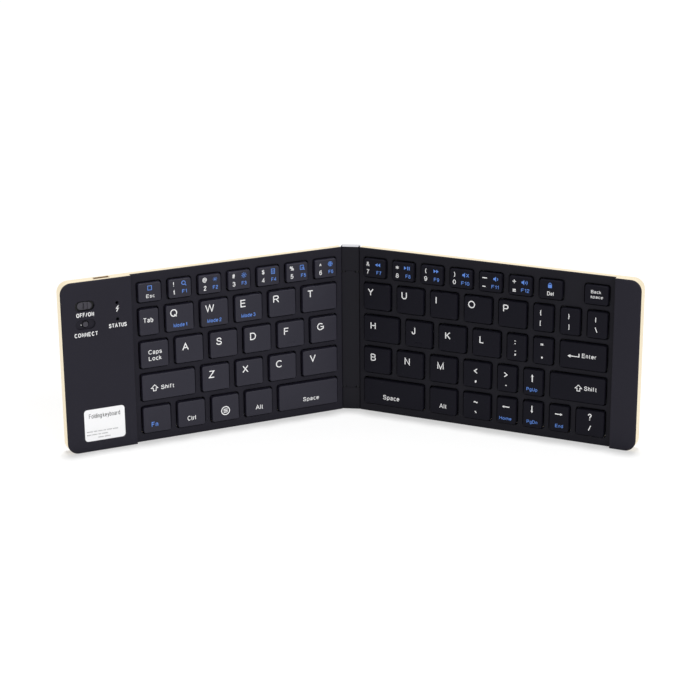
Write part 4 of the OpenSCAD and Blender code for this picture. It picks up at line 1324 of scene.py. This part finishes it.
# %% Print on the caps
def print_bank(bank, side, marks_of_keys, ink, colour):
    marks = []
    for (low, high), marks_here in zip(key_boxes[bank], marks_of_keys):
        for text, across, down, height, *wide in marks_here:
            mark = word(text, height, *wide) if height else icon(text)
            copy = copy_at(mark, "mark", low.x + across, high.z - down)
            copy.data.transform(Matrix.Translation((0, CAP_FACE - INK / 2 + INK_SUNK, 0)))
            marks.append(copy)
    finish(join(marks, f"print_{colour}_{bank}"), ink, side, bank)


for side in ("left", "right"):
    for bank in banks[side]:
        if bank in WHITE:
            print_bank(bank, side, WHITE[bank], white_ink, "white")
        if bank in BLUE:
            print_bank(bank, side, BLUE[bank], blue_ink, "blue")
print(len(printed), "different marks")

# %% [markdown]
# ## The power knob and the connect button
# The power knob is a little grip that stands in its oval slot, on a wide plate that keeps dust out
# as it slides; the plate is painted black, as painted shade in the slot. Its far end is a raised
# ridge and a groove gives the nail a hold. The connect button is turned: a cap, a collar that stops
# it from falling out, and a stem; the collar and stem are painted black, as painted shade round the
# cap.

# %% Power knob
GRIP_TOP = 0.1              # points this near to the knob's front are the grip's
knob_points = bench_points("power_knob", "left")
grip_low, grip_high = corners([p for p in knob_points if p.y < knob_box[0].y + GRIP_TOP])
plate_low, plate_high = corners([p for p in knob_points if abs(p.x - knob_box[0].x) < NEAR])
GRIP_RIDGE = 0.7            # where the ridge begins, as a share of the grip's length
STEP_DEEP = 0.45            # how far the rest of the grip lies below the ridge
GROOVE_AT, GROOVE_WIDE, GROOVE_DEEP = 0.42, 0.8, 1.0
GROOVE_EDGE = 0.5           # the grip's long edges stay whole beside the groove
KNOB_STEM = Vector((0.8, 0, 0.5))    # half of the stem's width and height
GRIP_SOFT, PLATE_R, STEM_SOFT = 0.25, 0.6, 0.2
END_FLAT = 0.02             # the grip's round ends keep this much of a flat
grip_long = grip_high.x - grip_low.x
grip = block("power_grip", grip_low, (grip_high.x, plate_low.y + JOIN, grip_high.z))
round_edges(grip, along_y, (grip_high.z - grip_low.z) / 2 - END_FLAT, steps=10)
ridge_x = grip_low.x + GRIP_RIDGE * grip_long
groove_x = grip_low.x + GROOVE_AT * grip_long
tall_cut = Vector((0, 0, 1))
cuts = [block("step", grip_low - tall_cut - Vector((1, 1, 0)),
              Vector((ridge_x, grip_low.y + STEP_DEEP, grip_high.z + 1))),
        block("groove", (groove_x - GROOVE_WIDE / 2, grip_low.y - 1, grip_low.z + GROOVE_EDGE),
              (groove_x + GROOVE_WIDE / 2, grip_low.y + GROOVE_DEEP, grip_high.z - GROOVE_EDGE))]
combine(grip, cuts, "DIFFERENCE")
round_edges(grip, lambda m, way: m.y < grip_low.y + NEAR and abs(way.y) < NEAR, GRIP_SOFT, steps=4)
finish(grip, grey_plastic, "left", "power_knob", ["power_knob"])

plate = block("power_slider_plate", (knob_box[0].x, plate_low.y, knob_box[0].z),
              (knob_box[1].x, plate_high.y, knob_box[1].z))
round_edges(plate, along_y, PLATE_R, steps=4)
stem = block("stem", switch_at - KNOB_STEM + Vector((0, plate_high.y - JOIN, 0)),
             switch_at + KNOB_STEM + Vector((0, knob_box[1].y, 0)))
round_edges(stem, along_y, STEM_SOFT, steps=2)
combine(plate, [stem], "UNION")
# painted shade: the plate, one moulding with the grey grip, is black for the shade it lies in below
# the grip
finish(plate, black_and_painted_shade, "left", "power_knob", [])

# %% Connect button
cap_y, collar_y, collar_end, stem_end = sorted({round(p.y, 2)
                                                for p in bench_points("connect_button", "left")})
collar_r = (button_box[1].x - button_box[0].x) / 2
BUTTON_SOFT, BUTTON_SIDES = 0.22, 40
button = drum("connect_cap", button_at.x, cap_y, button_at.z, BUTTON_R, collar_y - cap_y + JOIN,
              BUTTON_SIDES)
pick_faces(button, facing_front)
round_rim(BUTTON_SOFT, steps=4)
finish(button, grey_plastic, "left", "connect_button", ["connect_button"])
STEM_R = 0.8
collar = drum("connect_stem", button_at.x, collar_y, button_at.z, collar_r,
              collar_end - collar_y, BUTTON_SIDES)
pick_faces(collar, facing_back)
push_in(stem_end - collar_end, collar_r - STEM_R)
# painted shade: the collar and stem, one piece with the grey cap, are black for the shade in the
# button's hole
finish(collar, black_and_painted_shade, "left", "connect_button", [])
print("collar", round(collar_r, 2), "mm in radius,", round(collar_y - cap_y, 2), "mm below the cap")

# %% [markdown]
# ## Words by the controls
# They are printed like the legends, but on the raised end, and in wide capitals. The places are
# counted from the middle of the control that each word belongs to.

# %% Print on the raised end
upper_lamp, lower_lamp = (middle(b) for b in lamp_boxes)
DOT_R = 0.2


def on_face(mark, x, z, y):
    copy = copy_at(mark, "mark", x, z)
    copy.data.transform(Matrix.Translation((0, y - INK / 2 + INK_SUNK, 0)))
    return copy


# text, how wide, the gap between letters, what it belongs to, how far across and below it is
WORDS = [("OFF/ON", 0.78, 0.44, switch_at, 0, 4.0), ("CONNECT", 0.8, 0.5, button_at, 0, 4.7),
         ("STATUS", 0.78, 0.38, lower_lamp, -0.1, 2.8)]
WORD_HEIGHT, WORD_PEN = 1.95, 0.17
BOLT_DOWN = 2.7
DOT_LEFT, DOT_DOWN = 1.9, 0.2
dot = drum("dot", 0, -INK / 2, 0, DOT_R, INK, sides=16)
marks = [on_face(word(text, WORD_HEIGHT, wide, gap, WORD_PEN), at.x + across, at.z - below, RAISED)
         for text, wide, gap, at, across, below in WORDS]
marks += [on_face(icon("bolt"), upper_lamp.x, upper_lamp.z - BOLT_DOWN, RAISED),
          on_face(dot, button_at.x - DOT_LEFT, button_at.z - DOT_DOWN, RAISED + DISH)]
bpy.data.objects.remove(dot)
finish(join(marks, "print_controls"), white_ink, "left", "left_half")

# %% [markdown]
# ## The label
# A paper label with round corners sits low on the raised end. It carries the kind of thing it is
# on and three rows too small to read, which are drawn as rows of little upright strokes.

# %% Label sheet
LABEL_R = 1.5
label_low, label_high = bench_box("label_sticker", "left")
label = block("label", label_low, label_high)
round_edges(label, along_y, LABEL_R, steps=8)
finish(label, paper, "left", "left_half", ["label_sticker"])

# %% Small print
# each row: how far above the lowest one, how far in from the left, how many letters a word has
PRINT_ROWS = [(3.0, 0.9, [7, 4, 5, 3, 6, 6]), (1.5, 0.9, [5, 6, 3, 7]), (0, 6.2, [6, 7])]
ROW_UP = 1.25               # the lowest row above the label's lower edge
STROKE, LETTER_STEP, SPACE = (0.26, 0.5), 0.42, 0.36
bars = []
for up, indent, words in PRINT_ROWS:
    x = label_low.x + indent
    z = label_low.z + ROW_UP + up
    for letters in words:
        for i in range(letters):
            bars.append(block("bar", (x, label_low.y - INK, z),
                              (x + STROKE[0], label_low.y, z + STROKE[1])))
            x += LETTER_STEP
        x += SPACE
finish(join(bars, "print_label_lines"), pale_ink, "left", "left_half")

# %% Title
TITLE_DOWN = 3.2            # the title's middle below the label's upper edge
TITLE_HEIGHT, TITLE_WIDE, TITLE_PEN = 2.2, 0.66, 0.1
label_mid = middle((label_low, label_high))
title = on_face(word("Folding keyboard", TITLE_HEIGHT, TITLE_WIDE, share=TITLE_PEN),
                label_mid.x, label_high.z - TITLE_DOWN, label_low.y)
title.name = "print_label_title"
finish(title, grey_ink, "left", "left_half")
for mark in printed.values():
    bpy.data.objects.remove(mark)
printed.clear()

# %% [markdown]
# ## Screws
# Small cross-headed screws hold the covers. One head is turned with a soft rim, and a cross is
# cut into it; every screw is a copy of it with a shank of the right length.

# %% A screw's head
HEAD_R = (screw_boxes["left"][0][1].x - screw_boxes["left"][0][0].x) / 2
ARM_LONG, ARM_WIDE, ARM_DEEP = 0.62, 0.14, 0.25      # of the cross, from its middle
SHANK_R = 0.5
HEAD_SOFT = 0.15
screw_head = drum("head", 0, BACK - HEAD_DEEP, 0, HEAD_R, HEAD_DEEP, sides=28)
pick_faces(screw_head, facing_back)
round_rim(HEAD_SOFT, steps=3)
cross = [block("arm", (-a, BACK - ARM_DEEP, -b), (a, BACK + 1, b))
         for a, b in ((ARM_LONG, ARM_WIDE), (ARM_WIDE, ARM_LONG))]
combine(screw_head, cross, "DIFFERENCE")
print("a screw's head is", round(2 * HEAD_R, 2), "mm wide")

# %% All screws
def screws(side, boxes, name, body):
    made = []
    for low, high in boxes:
        at = (low + high) / 2
        made.append(copy_at(screw_head, "screw", at.x, at.z))
        made.append(drum("shank", at.x, low.y, at.z, SHANK_R, BACK - HEAD_DEEP - low.y, sides=16))
    finish(join(made, name), dark_steel if side == "spine" else steel, side, body,
           [side + "_screws"])


for side in ("left", "right"):
    screws(side, screw_boxes[side], side + "_cross_screws", side + "_half")
screws("spine", loose_boxes("spine_screws", "spine"), "spine_cross_screws", "spine")
bpy.data.objects.remove(screw_head)

# %% [markdown]
# ## Rubber feet
# Four round pads on each back keep the open keyboard from sliding. Each has a soft rim and a
# shallow dish, as a pad that is pressed and glued has.

# %% Feet
PAD_SOFT, PAD_BORDER, PAD_DISH = 0.22, 0.7, 0.12
for side in ("left", "right"):
    pads = []
    for low, high in loose_boxes(side + "_feet", side):
        at = (low + high) / 2
        pad = drum("pad", at.x, low.y, at.z, (high.x - low.x) / 2, high.y - low.y, sides=48)
        pick_faces(pad, facing_back)
        round_rim(PAD_SOFT, steps=4)
        pick_faces(pad, facing_back)
        push_in(-PAD_DISH, PAD_BORDER)
        pads.append(pad)
    finish(join(pads, side + "_rubber_pads"), rubber, side, side + "_half", [side + "_feet"])

# %% [markdown]
# ## Rubber domes and scissor links
# Under each key stand a rubber dome, which springs it back, and two crossed links, which keep it
# level. Both give way as the key goes down. Here a copy of each set is parted into its solids and
# shared out among the banks, and each share rides on its half, so it stands still while a key sinks
# into it.

# %% A node's copy on the bench
MERGE = 0.0005              # points nearer than this are one


def bench_copy(node, where, name):
    """A merged copy of a node on the bench, selected all over in edit mode."""
    mesh = frame["nodes"][node].data.copy()
    mesh.transform(bench[where].inverted())
    mesh.materials.clear()
    piece = bpy.data.objects.new(name, mesh)
    bpy.context.scene.collection.objects.link(piece)
    edit(piece, "VERT")
    bpy.ops.mesh.select_all(action="SELECT")
    bpy.ops.mesh.remove_doubles(threshold=MERGE)
    return piece


def parted(node, side):
    """One object for each solid of a node, on the bench."""
    bench_copy(node, side, node + "_copy")
    bpy.ops.mesh.separate(type="LOOSE")
    bpy.ops.object.mode_set(mode="OBJECT")
    return list(bpy.context.selected_objects)


# %% Domes and links, shared out
def is_under(part, box):
    """Whether a part stands below a key."""
    at = middle(corners([v.co for v in part.data.vertices]))
    low, high = box
    return low.x < at.x < high.x and low.z < at.z < high.z


def share_out(node, side, kind, material):
    """Joins a node's solids bank by bank, and sets each share on its half."""
    parts = parted(node, side)
    for bank in banks[side]:
        mine = [p for p in parts if any(is_under(p, box) for box in key_boxes[bank])]
        parts = [p for p in parts if p not in mine]
        share = join(mine, bank + "_" + kind)
        low, high = corners([v.co for v in share.data.vertices])
        finish(share, material, side, side + "_half", [node])
        press = joints["press_" + bank.split("_", 1)[1]]
        height = high.y - low.y
        left_over = height - press["range_m"][1] * MM_PER_M
        left_over / height
        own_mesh(share)


for side in ("left", "right"):
    share_out(side + "_domes", side, "domes", rubber)
    share_out(side + "_scissor_links", side, "links", acetal)

# %% [markdown]
# ## Flat cable
# A thin flat cable runs from half to half through the spine. Its ends are held in the halves and it
# bends at both hinges. Here it stays stiff on the spine, so its ends would cut into the mouldings
# when the keyboard is opened flat. A copy is parted in the middle of the spine and cut across into
# narrow rows, and both parts stay where they lie.

# %% Rows of the flat cable
CABLE_ROWS = 24
cable_mid = middle((cable_low, cable_high))


def cut_rows(way, length):
    """Keeps the strip's part on one side of the middle, and cuts it across into rows."""
    for row in range(CABLE_ROWS):
        bpy.ops.mesh.select_all(action="SELECT")
        bpy.ops.mesh.bisect(plane_co=(way * length * row / CABLE_ROWS, 0, 0),
                            plane_no=(way, 0, 0), clear_inner=row == 0, use_fill=row == 0)
    bpy.ops.object.mode_set(mode="OBJECT")


# %% Both parts of the cable
for side, way, length in (("left", -1, -cable_low.x), ("right", 1, cable_high.x)):
    strip = bench_copy("flex_cable", "spine", side + "_flat_cable")
    cut_rows(way, length)
    strip.data.materials.append(film)
    smooth(strip)
    place(strip, "spine")
    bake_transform(strip)
    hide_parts("flex_cable")
    print(strip.name, "has", len(strip.data.polygons), "faces")

# %% [markdown]
# ## The spine and what is inside
# The other parts already have their real shape in the engineer's model, so they stay and only
# get their finish: the spine's aluminium channel and black covers, the steel hinge parts, and
# what lies below the domes.

# %% Finishes of the parts that stay
FINISH = {
    silver: ["spine_channel"],
    spine_plastic: ["spine_cover_top", "spine_cover_middle", "spine_cover_bottom"],
    dark_steel: ["hinge_pins", "left_hinge_lugs", "right_hinge_lugs", "power_switch"],
    steel: ["left_key_plate", "right_key_plate", "tact_switch"],
    film: ["left_membrane", "right_membrane"],
    solder_mask: ["main_board"],
    pouch: ["battery"],
    lamp: ["indicator_leds"],
}
for material, names in FINISH.items():
    for name in names:
        for slot in frame["nodes"][name].material_slots:
            slot.material = material
    print(material.name, "on", ", ".join(names))

# %% [markdown]
# ## The table, the light and the camera
# The keyboard stands on a white sweep that runs out of sight. A real white table never renders
# quite white, so the camera, and the reflections, see it partly glowing. The rest of it is plain
# white paint, so it still takes the soft shadow under the keyboard and bounces light upwards.

# %% Floor
GLOW = 0.41                 # how much of the white the camera sees by itself
HAIR = 0.00005              # the table lies this far below the keyboard, so they don't flicker
TABLE_SIDE = 8
TABLE_WHITE = (0.95, 0.95, 0.95, 1)
deselect()
bpy.ops.mesh.primitive_plane_add(size=TABLE_SIDE, location=(0, 0, cad_box[0][2] - HAIR))
floor = bpy.context.object
floor.name = "table"
table = Paint(bpy.data.materials.new("white table"))
table.set(Base_Color=TABLE_WHITE, Roughness=1.0, Specular_IOR_Level=0.0)


def seen(paint):
    """1 for rays from the camera or a reflection, 0 for light that bounces between surfaces."""
    rays = paint.add("ShaderNodeLightPath").outputs
    camera_ray = Value(paint, rays["Is Camera Ray"])
    glossy_ray = Value(paint, rays["Is Glossy Ray"])
    return camera_ray.or_(glossy_ray).or_(Value(paint, rays["Is Transmission Ray"]))


glow = table.add("ShaderNodeEmission", None, {"Color": (1, 1, 1, 1), "Strength": 1.0})
mix = table.add("ShaderNodeMixShader", None, {0: seen(table) * GLOW, 1: table.shader.outputs[0],
                                              2: glow.outputs[0]})
table.feed(table.tree.nodes["Material Output"].inputs["Surface"], mix.outputs[0])
floor.data.materials.append(table.material)
print("table", TABLE_SIDE, "m wide")

# %% [markdown]
# The sky is white where it is seen, and dimmer as a light, so that the lamps can shape things.
# The lamps are suns with a wide disc: a sun lights the near and the far table alike, so the
# background stays even, and the wide disc gives a soft edge to the shadow. One stands overhead,
# a touch behind, and brings out the upper rims. The other stands in front, like a big window.

# %% Sky and lamps
SKY = 0.4                   # the sky's strength as a light
studio = Paint(bpy.data.worlds.new("studio"))
bpy.context.scene.world = studio.material
backdrop = studio.tree.nodes["Background"]
studio.feed(backdrop.inputs["Color"], (1, 1, 1, 1))
studio.feed(backdrop.inputs["Strength"], seen(studio) * (1 - SKY) + SKY)


def sun(name, share, height, turn, disc):
    """A sun at a height and turned round from the front, in degrees. A share of 1 is full light."""
    light = bpy.data.lights.new(name, "SUN")
    light.energy = share * math.pi
    light.angle = math.radians(disc)
    holder = bpy.data.objects.new(name, light)
    bpy.context.scene.collection.objects.link(holder)
    holder.rotation_euler = (math.radians(90 - height), 0, math.radians(turn))


SUNS = [("overhead sun", 0.62, 93.9, 0, 6.1), ("window", 0.34, 30, 45, 40)]
for settings in SUNS:
    sun(*settings)
    print(settings[0], "gives", settings[1], "of full light")

# %% [markdown]
# ## The camera
# A long lens, almost level with the keys, a little to the right of the spine and above it.

# %% Camera
LENS, SENSOR = 103.387, 36
CAMERA_AT = Vector((0.10323, -0.89517, 0.33340))
YAW, PITCH, ROLL = math.radians(-6.611), math.radians(18.659), math.radians(-0.4274)
view = bpy.data.cameras.new("camera")
view.lens = LENS
view.sensor_width = SENSOR
camera = bpy.data.objects.new("camera", view)
bpy.context.scene.collection.objects.link(camera)
turned = Matrix.Rotation(-YAW, 4, "Z") @ Matrix.Rotation(math.pi / 2 - PITCH, 4, "X")
camera.matrix_world = Matrix.Translation(CAMERA_AT) @ turned @ Matrix.Rotation(ROLL, 4, "Z")
bpy.context.scene.camera = camera
bpy.context.scene.view_settings.view_transform = "Standard"
print("camera at", [round(v, 3) for v in camera.location])
